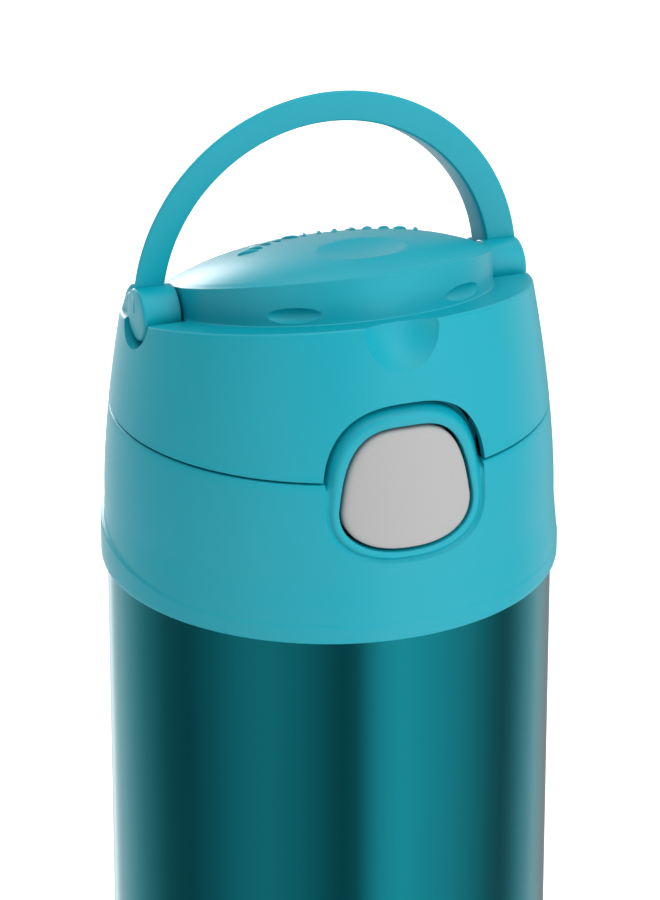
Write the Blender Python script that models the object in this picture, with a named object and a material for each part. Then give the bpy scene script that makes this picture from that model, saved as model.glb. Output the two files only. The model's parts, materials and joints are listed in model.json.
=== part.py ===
"""Insulated drinking bottle with a push-button flip cover and a carry handle.

Frame: metres, +Z up, origin on the standing face under the bottle's centre.
-Y is the front, where the push button is; the cover's hinge is at the back.
Angles round the bottle are measured from the front, towards +X.
"""

import math

import bmesh
import bpy
from mathutils import Matrix, Vector

# ---- Driving dimensions -------------------------------------------------------
SIDES = 48                      # facets round the large turned pieces
GAP = 0.0003                    # clearance between pieces that touch

BODY_RADIUS = 0.0340            # steel body, outside
BODY_HEIGHT = 0.1280            # standing face to the lid's bottom edge
BODY_FOOT_ROUND = 0.0030        # rounding under the body
SHEET = 0.0008                  # steel wall
VACUUM = 0.0018                 # space between the two steel walls
LINER_FLOOR = 0.0090            # standing face to the underside of the inner liner
NECK_INSET = 0.0070             # steel neck under the lid, inside the body's side
NECK_HEIGHT = 0.0108            # mouth rim above the lid's bottom edge
SHOULDER_ROUND = 0.0030

THREAD_PITCH = 0.0035
THREAD_DEPTH = 0.0009
THREAD_TURNS = 1.0
THREAD_START = 0.0049           # lowest turn above the lid's bottom edge
THREAD_CLEARANCE = 0.0006       # crest of one thread to the wall of the other

BAND_PROUD = 0.00096            # lower band of the lid beyond the body
BAND_STEP = 0.00066             # step from the band to the lid's side
BAND_HEIGHT_FRONT = 0.0028
BAND_HEIGHT_BACK = 0.0066
SEAM_HEIGHT = 0.0250            # split between lid and cover, above the lid's bottom edge
TAPER_START = 0.0108            # the lid's side is straight up to here
TAPER_END = 0.0480              # the radius below is lost by this height
TAPER = 0.0045                  # radius lost from TAPER_START to TAPER_END
TAPER_POWER = 1.65
LID_WALL = 0.0016

DRUM_HEADROOM = 0.005023        # drum's top edge on the axis above the folded mouthpiece
DRUM_RISE = 0.00459             # drum's top edge on the axis above the ledge
LEDGE_SLOPE = 0.213             # the ledge rises towards the front
LEDGE_EDGE = 0.0008             # bevel round the ledge
DRUM_INSET = 0.0097             # raised disc on the ledge, inside the lid's side
DRUM_DRAFT = 0.0012             # its front wall leans back, so that the handle swings past
DRUM_SLOPE = 0.31
DOME_RISE = 0.0050
DOME_POWER = 2.6

PIVOT_RISE = 0.00104            # handle axis above the ledge's height on the bottle's axis
HANDLE_INSET = 0.0035           # handle's outer radius inside the lid's side
HANDLE_THICKNESS = 0.0047
HANDLE_DEPTH = 0.0050
HANDLE_SETBACK = 0.0005         # front face of the handle behind its axis
HANDLE_ROUND = 0.0009
HANDLE_LEAN = 0.0019            # how much smaller the arch is outside at its back
HANDLE_TUCK = 0.00065           # and inside
BOSS_RADIUS = 0.0040
BOSS_CLEARANCE = 0.0010         # boss to the notch that it turns in
STUD_RADIUS = 0.0018
STUD_LENGTH = 0.0015
STOP_RISE = 0.0020              # rear stop above the handle axis

BEZEL_HALF_WIDTH = 0.0126       # raised surround of the button
BEZEL_MIDDLE = 0.0210           # height of its widest line above the lid's bottom edge
BEZEL_UP = 0.0151
BEZEL_DOWN = 0.0089
BEZEL_POWER = 2.6
BUTTON_HALF_WIDTH = 0.01005
BUTTON_MIDDLE = 0.0205
BUTTON_UP = 0.0118
BUTTON_DOWN = 0.0063
BUTTON_POWER_UP = 3.2
BUTTON_POWER_DOWN = 2.4
BUTTON_TAPER = 0.16             # share of the width lost at the button's top
BUTTON_CLEARANCE = 0.00045
BUTTON_WALL = 0.0012
BUTTON_DEPTH = 0.0050           # face to the back of the button's skirt
BUTTON_TRAVEL = 0.0020

HINGE_INSET = 0.0042            # hinge axis inside the lid's side
HINGE_RISE = 0.0010             # hinge axis above the seam
HINGE_BARREL = 0.0047
HINGE_HALF_WIDTH = 0.0156
KNUCKLE_HALF_WIDTH = 0.0061
PIN_RADIUS = 0.0010
PIN_HALF_LENGTH = 0.0105
HINGE_COIL_RADIUS = 0.0016
HINGE_WIRE = 0.00025
HINGE_COIL_LENGTH = 0.0030
SCOOP_RADIUS = 0.0064           # thumb scoop in the cover's front rim
SCOOP_DEPTH = 0.0026

SPOUT_TIP_AHEAD = 0.012385      # folded mouthpiece's tip in front of the bottle's axis
SPOUT_LEAN = math.radians(50)   # how far the shut cover folds the mouthpiece forward
SPOUT_LENGTH = 0.0240
SPOUT_RADIUS = 0.0042
SPOUT_BORE = 0.0020
STRAW_RADIUS = 0.0034
STRAW_BORE = 0.0026
STRAW_FLOOR_GAP = 0.0040        # straw's end above the liner's floor
PLATFORM_RADIUS = 0.0095        # raised seat of the mouthpiece
PLATFORM_HEIGHT = 0.0225        # its top above the lid's bottom edge
DECK_THICKNESS = 0.0013
GASKET_THICKNESS = 0.0008
VENT_OFFSET = 0.0135            # vent valve in front of the bottle's axis

# ---- Places worked out from them ----------------------------------------------
LID = BODY_HEIGHT               # height of the lid's bottom edge
BAND_RADIUS = BODY_RADIUS + BAND_PROUD
LID_RADIUS = BAND_RADIUS - BAND_STEP
NECK_RADIUS = BODY_RADIUS - NECK_INSET
DRUM_RADIUS = LID_RADIUS - DRUM_INSET
HANDLE_RADIUS = LID_RADIUS - HANDLE_INSET
SEAM = LID + SEAM_HEIGHT
RIM = LID + NECK_HEIGHT
LINER_RADIUS = BODY_RADIUS - SHEET - VACUUM
MOUTH_OUTER = NECK_RADIUS - SHEET - GAP
MOUTH_RADIUS = MOUTH_OUTER - SHEET
SKIRT_INNER = NECK_RADIUS + THREAD_DEPTH + THREAD_CLEARANCE
SKIRT_OUTER = SKIRT_INNER + LID_WALL
DECK_UNDER = RIM + GAP + GASKET_THICKNESS + GAP
DECK_TOP = DECK_UNDER + DECK_THICKNESS
PLATFORM_TOP = LID + PLATFORM_HEIGHT
SPOUT_PIVOT = PLATFORM_TOP + 0.0032
SPOUT_OFFSET = SPOUT_LENGTH * math.sin(SPOUT_LEAN) - SPOUT_TIP_AHEAD
DRUM_HEIGHT = SPOUT_PIVOT - LID + SPOUT_LENGTH * math.cos(SPOUT_LEAN) + DRUM_HEADROOM
LEDGE_HEIGHT = DRUM_HEIGHT - DRUM_RISE
PIVOT = LID + LEDGE_HEIGHT + PIVOT_RISE
BOSS_START = DRUM_RADIUS + 0.0002
SEAT = BOSS_START - 0.0004      # flat on the drum that the boss turns against
STUD_END = BOSS_START - STUD_LENGTH
SADDLE_START = STUD_END - GAP - LID_WALL
COVER_LINER_RADIUS = SADDLE_START - GAP


def lid_radius(height):
    """Outside radius of the lid and the cover at a height above the lid's bottom edge."""
    share = max(0.0, (height - TAPER_START) / (TAPER_END - TAPER_START))
    return LID_RADIUS - TAPER * share ** TAPER_POWER


HINGE_Y = lid_radius(SEAM_HEIGHT) - HINGE_INSET
HINGE_Z = SEAM + HINGE_RISE
BUTTON_FACE = lid_radius(BUTTON_MIDDLE)
BUTTON_BACK = BUTTON_FACE - BUTTON_DEPTH
KEEPER_FRONT = lid_radius(BEZEL_MIDDLE + BEZEL_UP) - LID_WALL - 0.0007
KEEPER_BACK = KEEPER_FRONT - 0.0013
LIP_BACK = KEEPER_BACK - 0.0008
NOSE_TIP = LIP_BACK - 0.0008
ARM_FRONT = NOSE_TIP - 0.0011
ARM_BACK = ARM_FRONT - 0.0012
POCKET_WALL = ARM_BACK - BUTTON_TRAVEL - 0.0010

# ---- Colours -------------------------------------------------------------------
TEAL = (0.010, 0.340, 0.420, 1.0)
LACQUER = (0.005, 0.130, 0.150, 1.0)
GREY = (0.560, 0.560, 0.560, 1.0)
SILICONE = (0.750, 0.780, 0.800, 1.0)
STEEL = (0.620, 0.620, 0.640, 1.0)
STRAW_WHITE = (0.850, 0.870, 0.880, 1.0)
GASKET_GREY = (0.350, 0.370, 0.380, 1.0)


# ---- Tools -----------------------------------------------------------------------
def material(name, colour, roughness, metallic=0.0):
    found = bpy.data.materials.get(name)
    if found:
        return found
    made = bpy.data.materials.new(name)
    made.use_nodes = True
    shader = made.node_tree.nodes["Principled BSDF"]
    shader.inputs["Base Color"].default_value = colour
    shader.inputs["Roughness"].default_value = roughness
    shader.inputs["Metallic"].default_value = metallic
    made.diffuse_color = colour
    return made


def add_object(name, bm, origin=(0, 0, 0)):
    """An object from a closed bmesh in world coordinates, with its origin where it is given."""
    bmesh.ops.recalc_face_normals(bm, faces=bm.faces)
    bmesh.ops.translate(bm, verts=bm.verts, vec=-Vector(origin))
    mesh = bpy.data.meshes.new(name)
    bm.to_mesh(mesh)
    bm.free()
    mesh.shade_smooth()
    mesh.set_sharp_from_angle(angle=math.radians(32))
    made = bpy.data.objects.new(name, mesh)
    made.location = origin
    bpy.context.collection.objects.link(made)
    return made


def finish(made, name, colour, roughness=0.35, metallic=0.0):
    made.data.materials.clear()
    made.data.materials.append(material(name, colour, roughness, metallic))
    return made


def bridge(bm, first, second):
    count = len(first)
    for i in range(count):
        j = (i + 1) % count
        bm.faces.new((first[i], first[j], second[j], second[i]))


def turned(name, chain, sides=SIDES, centre=(0.0, 0.0), origin=(0, 0, 0), offset=0.0):
    """A solid turned about a vertical axis.

    chain holds (radius, height) points, or functions of the angle from the front
    that give them. A first and last radius of 0 are poles; otherwise the chain closes
    on itself. offset turns the facets by a share of one facet.
    """
    bm = bmesh.new()
    rings = []
    for point in chain:
        if not callable(point) and point[0] == 0:
            rings.append([bm.verts.new((centre[0], centre[1], point[1]))])
            continue
        ring = []
        for i in range(sides):
            angle = 2 * math.pi * (i + offset) / sides
            radius, height = point(angle) if callable(point) else point
            ring.append(bm.verts.new((
                centre[0] + radius * math.sin(angle),
                centre[1] - radius * math.cos(angle),
                height,
            )))
        rings.append(ring)
    pairs = list(zip(rings, rings[1:]))
    if len(rings[0]) > 1:
        pairs.append((rings[-1], rings[0]))
    for first, second in pairs:
        if len(first) == 1 or len(second) == 1:
            pole, ring = (first[0], second) if len(first) == 1 else (second[0], first)
            for i in range(sides):
                bm.faces.new((pole, ring[i], ring[(i + 1) % sides]))
        else:
            bridge(bm, first, second)
    return add_object(name, bm, origin)


def arc(centre_r, centre_z, radius, start, end, steps):
    """Points on an arc in the (radius, height) plane, angles in degrees from +radius."""
    points = []
    for i in range(steps + 1):
        angle = math.radians(start + (end - start) * i / steps)
        points.append((centre_r + radius * math.cos(angle), centre_z + radius * math.sin(angle)))
    return points


def rod(name, start, end, radius, sides=24, bore=0.0, origin=(0, 0, 0)):
    """A cylinder, or a tube when it has a bore, between two points."""
    axis = Vector(end) - Vector(start)
    turn = axis.to_track_quat("Z", "Y").to_matrix().to_4x4()
    place = Matrix.Translation(start) @ turn
    bm = bmesh.new()
    rings = []
    for ring_radius, height in ((radius, 0), (radius, axis.length), (bore, axis.length), (bore, 0)):
        if ring_radius == 0:
            continue
        rings.append([
            bm.verts.new(place @ Vector((
                ring_radius * math.cos(2 * math.pi * i / sides),
                ring_radius * math.sin(2 * math.pi * i / sides),
                height,
            )))
            for i in range(sides)
        ])
    for first, second in zip(rings, rings[1:]):
        bridge(bm, first, second)
    if bore:
        bridge(bm, rings[-1], rings[0])
    else:
        bm.faces.new(rings[0])
        bm.faces.new(rings[1])
    return add_object(name, bm, origin)


def block(name, low, high, origin=(0, 0, 0)):
    bm = bmesh.new()
    bmesh.ops.create_cube(bm, size=1.0)
    for vert in bm.verts:
        for axis in range(3):
            vert.co[axis] = high[axis] if vert.co[axis] > 0 else low[axis]
    return add_object(name, bm, origin)


def prism(name, outline, axis, start, end, origin=(0, 0, 0)):
    """An outline of (u, height) points extruded along X or Y; u runs along the other one."""
    bm = bmesh.new()
    rings = []
    for depth in (start, end):
        ring = []
        for u, height in outline:
            ring.append(bm.verts.new((depth, u, height) if axis == "X" else (u, depth, height)))
        rings.append(ring)
    bridge(bm, rings[0], rings[1])
    bm.faces.new(rings[0])
    bm.faces.new(rings[1])
    return add_object(name, bm, origin)


def swept(name, path, section, origin=(0, 0, 0)):
    """A closed section carried along a path of (centre, across, up) frames."""
    bm = bmesh.new()
    rings = []
    for centre, across, up in path:
        rings.append([bm.verts.new(centre + across * u + up * v) for u, v in section])
    for first, second in zip(rings, rings[1:]):
        bridge(bm, first, second)
    bm.faces.new(rings[0])
    bm.faces.new(rings[-1])
    return add_object(name, bm, origin)


def boolean(target, tool, operation):
    """Cut, join or trim a solid with another one, which then becomes a hidden guide."""
    modifier = target.modifiers.new(tool.name, "BOOLEAN")
    modifier.operation = operation
    modifier.solver = "EXACT"
    modifier.object = tool
    tool.hide_render = True
    tool.display_type = "WIRE"
    return target


def cut(target, tool):
    return boolean(target, tool, "DIFFERENCE")


def join(target, tool):
    return boolean(target, tool, "UNION")


def trim(target, tool):
    return boolean(target, tool, "INTERSECT")


def egg(half_width, middle, up, down, power_up, power_down, taper=0.0, grow=0.0, steps=9):
    """A rounded outline round the front's centre line, as (x, height) points."""
    points = []
    for i in range(4 * steps):
        angle = 2 * math.pi * i / (4 * steps)
        sideways, upward = math.cos(angle), math.sin(angle)
        power = power_up if upward >= 0 else power_down
        reach = up if upward >= 0 else down
        u = math.copysign(abs(sideways) ** (2 / power), sideways)
        v = math.copysign(abs(upward) ** (2 / power), upward)
        narrowing = 1 - taper * max(0.0, v)
        points.append((u * (half_width + grow) * narrowing, LID + middle + v * (reach + grow)))
    return points


def bezel_outline(grow=0.0):
    return egg(BEZEL_HALF_WIDTH, BEZEL_MIDDLE, BEZEL_UP, BEZEL_DOWN,
               BEZEL_POWER, BEZEL_POWER, grow=grow, steps=8)


def button_outline(grow=0.0):
    return egg(BUTTON_HALF_WIDTH, BUTTON_MIDDLE, BUTTON_UP, BUTTON_DOWN,
               BUTTON_POWER_UP, BUTTON_POWER_DOWN, BUTTON_TAPER, grow=grow, steps=8)


def lid_envelope(name, inset, low, high):
    """A solid as wide as the lid's side between two heights above the lid's bottom edge."""
    steps = 6
    chain = [(0, LID + low)]
    for i in range(steps + 1):
        height = low + (high - low) * i / steps
        chain.append((lid_radius(height) - inset, LID + height))
    chain.append((0, LID + high))
    return turned(name, chain)


def lid_rise(height):
    """A point of the lid's side section, as (radius, height)."""
    return lid_radius(height), LID + height


def ledge_height(y, inset=0.0):
    return LID + LEDGE_HEIGHT - LEDGE_SLOPE * y - inset


def drum_height(y):
    return LID + DRUM_HEIGHT - DRUM_SLOPE * y


def drum_top_radius(angle, foot_radius):
    """Radius of the disc's top edge, where its front wall leans back."""
    return foot_radius - DRUM_DRAFT * max(0.0, math.cos(angle)) ** 2


def helix_ridge(name, root, crest, start, turns, half_root, half_crest, sides=24):
    """A thread ridge: its crest at one radius and its root sunk into the wall behind."""
    total = int(sides * turns)
    path = []
    for i in range(total + 1):
        angle = 2 * math.pi * i / sides
        height = start + THREAD_PITCH * i / sides
        out = Vector((math.sin(angle), -math.cos(angle), 0))
        path.append((Vector((0, 0, height)), out, Vector((0, 0, 1))))
    section = [(root, -half_root), (crest, -half_crest), (crest, half_crest), (root, half_root)]
    return swept(name, path, section)


def coil(name, centre, axis, side, radius, wire, length, turns, sides=12, origin=(0, 0, 0)):
    """A round wire spring about an axis."""
    axis, side = Vector(axis), Vector(side)
    third = axis.cross(side)
    section = [
        (wire * math.cos(2 * math.pi * k / 6), wire * math.sin(2 * math.pi * k / 6))
        for k in range(6)
    ]
    path = []
    total = int(sides * turns)
    for i in range(total + 1):
        angle = 2 * math.pi * i / sides
        out = side * math.cos(angle) + third * math.sin(angle)
        middle = Vector(centre) + axis * (length * i / total) + out * radius
        path.append((middle, out, axis))
    return swept(name, path, section, origin)


# ---- Bottle ----------------------------------------------------------------------
def outer_shell():
    shoulder = LID + GAP
    foot = BODY_FOOT_ROUND
    hem = BODY_RADIUS - foot - 0.0014
    chain = [(hem, 0.0)]
    chain += arc(BODY_RADIUS - foot, foot, foot, -90, 0, 3)
    chain += arc(BODY_RADIUS - SHOULDER_ROUND, shoulder, SHOULDER_ROUND, 0, 90, 3)
    neck_foot = shoulder + SHOULDER_ROUND
    chain += [
        (NECK_RADIUS, neck_foot),
        (NECK_RADIUS, RIM - SHEET - GAP),
        (NECK_RADIUS - SHEET, RIM - SHEET - GAP),
        (NECK_RADIUS - SHEET, neck_foot - SHEET),
    ]
    chain += arc(BODY_RADIUS - SHOULDER_ROUND, shoulder, SHOULDER_ROUND - SHEET, 90, 0, 2)
    chain += arc(BODY_RADIUS - foot, foot, foot - SHEET, 0, -90, 2)
    chain += [(hem, SHEET)]
    shell = turned("outer_shell", chain)
    ridge = helix_ridge("guide_neck_thread", NECK_RADIUS - SHEET / 2, NECK_RADIUS + THREAD_DEPTH,
                        LID + THREAD_START, THREAD_TURNS, 0.0009, 0.00035)
    return finish(join(shell, ridge), "lacquered_steel", LACQUER, 0.2, 0.9)


def inner_liner():
    corner = 0.0040
    top = LID - 0.0030
    outer, inner = LINER_RADIUS, LINER_RADIUS - SHEET
    floor = LINER_FLOOR
    neck_foot = LID + SHOULDER_ROUND - SHEET - 0.0009
    chain = [(0, floor)]
    chain += arc(outer - corner, floor + corner, corner, -90, 0, 3)
    chain += [
        (outer, top),
        (MOUTH_OUTER + 0.0004, neck_foot),
        (MOUTH_OUTER, neck_foot + 0.0004),
        (MOUTH_OUTER, RIM - SHEET),
        (NECK_RADIUS, RIM - SHEET),
        (NECK_RADIUS, RIM),
        (MOUTH_RADIUS, RIM),
        (MOUTH_RADIUS, neck_foot - 0.0004),
        (inner, top - 0.0006),
    ]
    chain += arc(outer - corner, floor + corner, corner - SHEET, 0, -90, 3)
    chain += [(0, floor + SHEET)]
    return finish(turned("inner_liner", chain), "plain_steel", STEEL, 0.3, 1.0)


def base_plate():
    radius = BODY_RADIUS - BODY_FOOT_ROUND - 0.0014 - GAP
    low = SHEET + GAP
    chain = [
        (0, low + 0.0008),
        (radius * 0.35, low + 0.0008),
        (radius * 0.8, low),
        (radius, low),
        (radius, low + SHEET),
        (radius * 0.8, low + SHEET),
        (radius * 0.35, low + 0.0008 + SHEET),
        (0, low + 0.0008 + SHEET),
    ]
    return finish(turned("base_plate", chain), "plain_steel", STEEL, 0.3, 1.0)


def vacuum_seal_plug():
    top = SHEET + GAP + 0.0008 - GAP
    chain = [(0, top - 0.0006), (0.0030, top - 0.0006), (0.0036, top), (0, top)]
    return finish(turned("vacuum_seal_plug", chain, 24), "plain_steel", STEEL, 0.4, 1.0)


def getter_disc():
    top = LINER_FLOOR - GAP
    chain = [(0, top - 0.0010), (0.0050, top - 0.0010), (0.0050, top), (0, top)]
    return finish(turned("getter_disc", chain, 24), "getter_metal", STEEL, 0.6, 1.0)


# ---- Lid --------------------------------------------------------------------------
def sweep_share(angle):
    """0 round the front of the lid's lower band, rising to 1 at its back."""
    turn = abs((angle + math.pi) % (2 * math.pi) - math.pi)
    share = min(1.0, max(0.0, (math.degrees(turn) - 50) / 70))
    return share * share * (3 - 2 * share)


def band_top(angle):
    """Top of the lid's lower band, which sweeps up towards the back."""
    return LID + BAND_HEIGHT_FRONT + (BAND_HEIGHT_BACK - BAND_HEIGHT_FRONT) * sweep_share(angle)


def side_foot(angle):
    """Foot of the lid's side: it flares into the band at the front and steps in at the back."""
    flare = (BAND_STEP - 0.0001) * (1 - sweep_share(angle))
    return LID_RADIUS + flare, band_top(angle) + 0.0005


def lid_shell():
    """Outer skin of the lid: collar, side, button surround and hinge block."""
    edge = 0.0008
    step = LID + SHOULDER_ROUND + GAP + 0.0009
    top = SEAM - GAP / 2
    tower = BEZEL_MIDDLE + BEZEL_UP + 0.001
    inner = LID_RADIUS - LID_WALL
    skin = [
        (BODY_RADIUS + GAP, LID),
        (BAND_RADIUS - edge / 3, LID),
        (BAND_RADIUS, LID + edge),
        lambda angle: (BAND_RADIUS, band_top(angle)),
        side_foot,
        (LID_RADIUS, LID + TAPER_START),
    ]
    side = [lid_rise(0.020), lid_rise(0.029), lid_rise(tower)]
    skin += side
    skin += [(radius - LID_WALL, height) for radius, height in side[::-1]]
    skin += [
        (inner, LID + TAPER_START),
        (inner, step),
        (BODY_RADIUS - 0.0001, LID + 0.0020),
        (BODY_RADIUS + GAP, LID + 0.0010),
    ]
    shell = turned("lid_shell", skin)
    hinge = block(
        "guide_hinge_block",
        (-HINGE_HALF_WIDTH - 0.0007, HINGE_Y - 0.0050, SEAM - 0.0060),
        (HINGE_HALF_WIDTH + 0.0007, HINGE_Y + 0.0060, LID + tower - 0.0004),
    )
    trim(hinge, lid_envelope("guide_hinge_outside", inset=LID_WALL / 2, low=0.012, high=0.039))
    join(shell, hinge)
    above = turned("cut_above_seam", [
        (0, top), (BAND_RADIUS + 0.002, top),
        (BAND_RADIUS + 0.002, LID + tower + 0.002), (0, LID + tower + 0.002),
    ], 24)
    cut(above, prism("guide_tower", bezel_outline(-GAP), "Y",
                     -BAND_RADIUS - 0.004, -BODY_RADIUS * 0.7))
    cut(above, rod("guide_ears", (-HINGE_HALF_WIDTH - 0.001, HINGE_Y, HINGE_Z),
                   (HINGE_HALF_WIDTH + 0.001, HINGE_Y, HINGE_Z), HINGE_BARREL))
    join(above, block("cut_beside_ears_right", (HINGE_HALF_WIDTH, HINGE_Y - 0.007, top),
                      (HINGE_HALF_WIDTH + 0.004, HINGE_Y + 0.007, LID + tower + 0.001)))
    join(above, block("cut_beside_ears_left", (-HINGE_HALF_WIDTH - 0.004, HINGE_Y - 0.007, top),
                      (-HINGE_HALF_WIDTH, HINGE_Y + 0.007, LID + tower + 0.001)))
    cut(shell, above)
    middle = KNUCKLE_HALF_WIDTH + GAP
    room = HINGE_BARREL + GAP
    slot = arc(HINGE_Y, HINGE_Z, room, -180, -90, 7)
    slot += [(HINGE_Y + room + 0.002, HINGE_Z - room),
             (HINGE_Y + room + 0.002, LID + tower + 0.002), (HINGE_Y - room, LID + tower + 0.002)]
    cut(shell, prism("cut_knuckle", slot, "X", -middle, middle))
    reach = PIN_HALF_LENGTH + GAP
    cut(shell, rod("cut_pin_hole", (-reach, HINGE_Y, HINGE_Z), (reach, HINGE_Y, HINGE_Z),
                   PIN_RADIUS + GAP))
    bore_end = middle + HINGE_COIL_LENGTH + 2 * HINGE_WIRE + 2 * GAP
    cut(shell, rod("cut_spring_bore", (0.0, HINGE_Y, HINGE_Z), (bore_end, HINGE_Y, HINGE_Z),
                   HINGE_COIL_RADIUS + HINGE_WIRE + GAP))
    cut(shell, prism("cut_button_hole", button_outline(BUTTON_CLEARANCE), "Y",
                     -BODY_RADIUS - 0.002, -BODY_RADIUS * 0.7))
    return finish(shell, "lid_plastic", TEAL)


def lid_core():
    """Inner part of the lid: threaded skirt, deck, mouthpiece seat and button pocket."""
    skirt_foot = LID + SHOULDER_ROUND + GAP + 0.0010
    deck_radius = LID_RADIUS - LID_WALL - GAP
    chain = [
        (0, DECK_TOP),
        (deck_radius, DECK_TOP),
        (deck_radius, DECK_UNDER),
        (SKIRT_OUTER, DECK_UNDER - 0.0003),
        (SKIRT_OUTER, skirt_foot),
        (SKIRT_INNER, skirt_foot),
        (SKIRT_INNER, DECK_UNDER),
        (0, DECK_UNDER),
    ]
    core = turned("lid_core", chain)
    ridge = helix_ridge("guide_lid_thread", SKIRT_INNER + LID_WALL / 2,
                        SKIRT_INNER - THREAD_DEPTH,
                        LID + THREAD_START + THREAD_PITCH / 2, THREAD_TURNS * 0.9,
                        0.0009, 0.00035)
    join(core, ridge)
    spot = (0.0, SPOUT_OFFSET)
    seat = turned("guide_platform", [
        (0, DECK_TOP - 0.0006), (PLATFORM_RADIUS + 0.0008, DECK_TOP - 0.0006),
        (PLATFORM_RADIUS, PLATFORM_TOP), (0, PLATFORM_TOP),
    ], 32, spot)
    join(core, seat)
    cut(core, turned("cut_platform", [
        (0, DECK_UNDER - 0.001), (PLATFORM_RADIUS - 0.0012, DECK_UNDER - 0.001),
        (PLATFORM_RADIUS - 0.0018, PLATFORM_TOP - 0.0016), (0, PLATFORM_TOP - 0.0016),
    ], 32, spot))
    cut(core, rod("cut_spout_hole", (0, SPOUT_OFFSET, PLATFORM_TOP - 0.004),
                  (0, SPOUT_OFFSET, PLATFORM_TOP + 0.001), STRAW_RADIUS + 0.0016))
    half, wall = BEZEL_HALF_WIDTH, 0.0012
    pocket_top = LID + BEZEL_MIDDLE + 0.0100
    pocket = block("guide_pocket", (-half, -POCKET_WALL - 0.006, DECK_TOP - 0.0005),
                   (half, -POCKET_WALL + wall, pocket_top))
    cut(pocket, block("cut_pocket", (-half + wall, -POCKET_WALL - 0.01, DECK_TOP - 0.002),
                      (half - wall, -POCKET_WALL, pocket_top + 0.004)))
    join(pocket, rod("guide_spring_post", (0, -POCKET_WALL + wall / 2, LID + BUTTON_MIDDLE),
                     (0, -POCKET_WALL - 0.0020, LID + BUTTON_MIDDLE), 0.0015, 12))
    join(core, pocket)
    cut(core, rod("cut_vent", (0, -VENT_OFFSET, DECK_UNDER - 0.001),
                  (0, -VENT_OFFSET, DECK_TOP + 0.001), 0.0016, 16))
    return finish(core, "core_plastic", TEAL, 0.4)


def lid_gasket():
    low, high = RIM + GAP, DECK_UNDER - GAP
    outer = SKIRT_INNER - THREAD_DEPTH - GAP
    inner = MOUTH_RADIUS + 0.0002
    chain = [(inner, low), (outer, low), (outer, high), (inner, high)]
    return finish(turned("lid_gasket", chain), "gasket_silicone", GASKET_GREY, 0.6)


def vent_valve():
    chain = [
        (0, DECK_TOP + 0.0015), (0.0022, DECK_TOP + 0.0012), (0.0030, DECK_TOP + GAP),
        (0.0013, DECK_TOP + GAP), (0.0013, DECK_UNDER - GAP), (0.0010, DECK_UNDER - 0.0012),
        (0, DECK_UNDER - 0.0012),
    ]
    return finish(turned("vent_valve", chain, 16, (0.0, -VENT_OFFSET)), "silicone", SILICONE, 0.55)


def push_button():
    front = -BODY_RADIUS - 0.002
    button = trim(
        prism("push_button", button_outline(), "Y", front, -BUTTON_BACK,
              origin=(0, -BUTTON_BACK, LID + BUTTON_MIDDLE)),
        lid_envelope("guide_button_face", inset=0.0002, low=0.011, high=0.036),
    )
    hollow = prism("cut_button", button_outline(-BUTTON_WALL), "Y",
                   front, -BUTTON_BACK + 0.001)
    trim(hollow, lid_envelope("guide_button_inside", inset=0.0020, low=0.010, high=0.037))
    cut(button, hollow)
    join(button, rod("guide_button_stem", (0, -BUTTON_FACE + 0.0010, LID + BUTTON_MIDDLE),
                     (0, -BUTTON_BACK - 0.0006, LID + BUTTON_MIDDLE), 0.0015, 12))
    return finish(button, "button_plastic", GREY, 0.4)


def latch_hook():
    """The catch that the button pushes back, with its nose over the cover's keeper."""
    foot = LID + BUTTON_MIDDLE + 0.0065
    nose = LID + BEZEL_MIDDLE + BEZEL_UP - 0.0010
    outline = [
        (-BUTTON_BACK + GAP, foot), (-ARM_BACK, foot), (-ARM_BACK, nose + 0.0012),
        (-ARM_FRONT - 0.0002, nose + 0.0012), (-NOSE_TIP, nose + 0.0003), (-NOSE_TIP, nose),
        (-ARM_FRONT, nose), (-ARM_FRONT, foot + 0.0022), (-BUTTON_BACK + GAP, foot + 0.0022),
    ]
    hook = prism("latch_hook", outline, "X", -0.0040, 0.0040, origin=(0, -ARM_BACK, foot))
    return finish(hook, "latch_plastic", GREY, 0.45)


def button_spring():
    start = -BUTTON_FACE + 0.0021 + GAP + 0.0003
    end = -POCKET_WALL - GAP - 0.0003
    spring = coil("button_spring", (0, start, LID + BUTTON_MIDDLE), (0, 1, 0), (1, 0, 0),
                  0.0024, 0.0003, end - start, 5)
    return finish(spring, "spring_steel", STEEL, 0.3, 1.0)


def hinge_pin():
    reach = PIN_HALF_LENGTH
    pin = rod("hinge_pin", (-reach, HINGE_Y, HINGE_Z), (reach, HINGE_Y, HINGE_Z), PIN_RADIUS,
              origin=(0, HINGE_Y, HINGE_Z))
    return finish(pin, "plain_steel", STEEL, 0.3, 1.0)


def hinge_spring():
    start = KNUCKLE_HALF_WIDTH + 2 * GAP + HINGE_WIRE
    spring = coil("hinge_spring", (start, HINGE_Y, HINGE_Z), (1, 0, 0), (0, 1, 0),
                  HINGE_COIL_RADIUS, HINGE_WIRE, HINGE_COIL_LENGTH, 4.5)
    return finish(spring, "spring_steel", STEEL, 0.3, 1.0)


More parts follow.
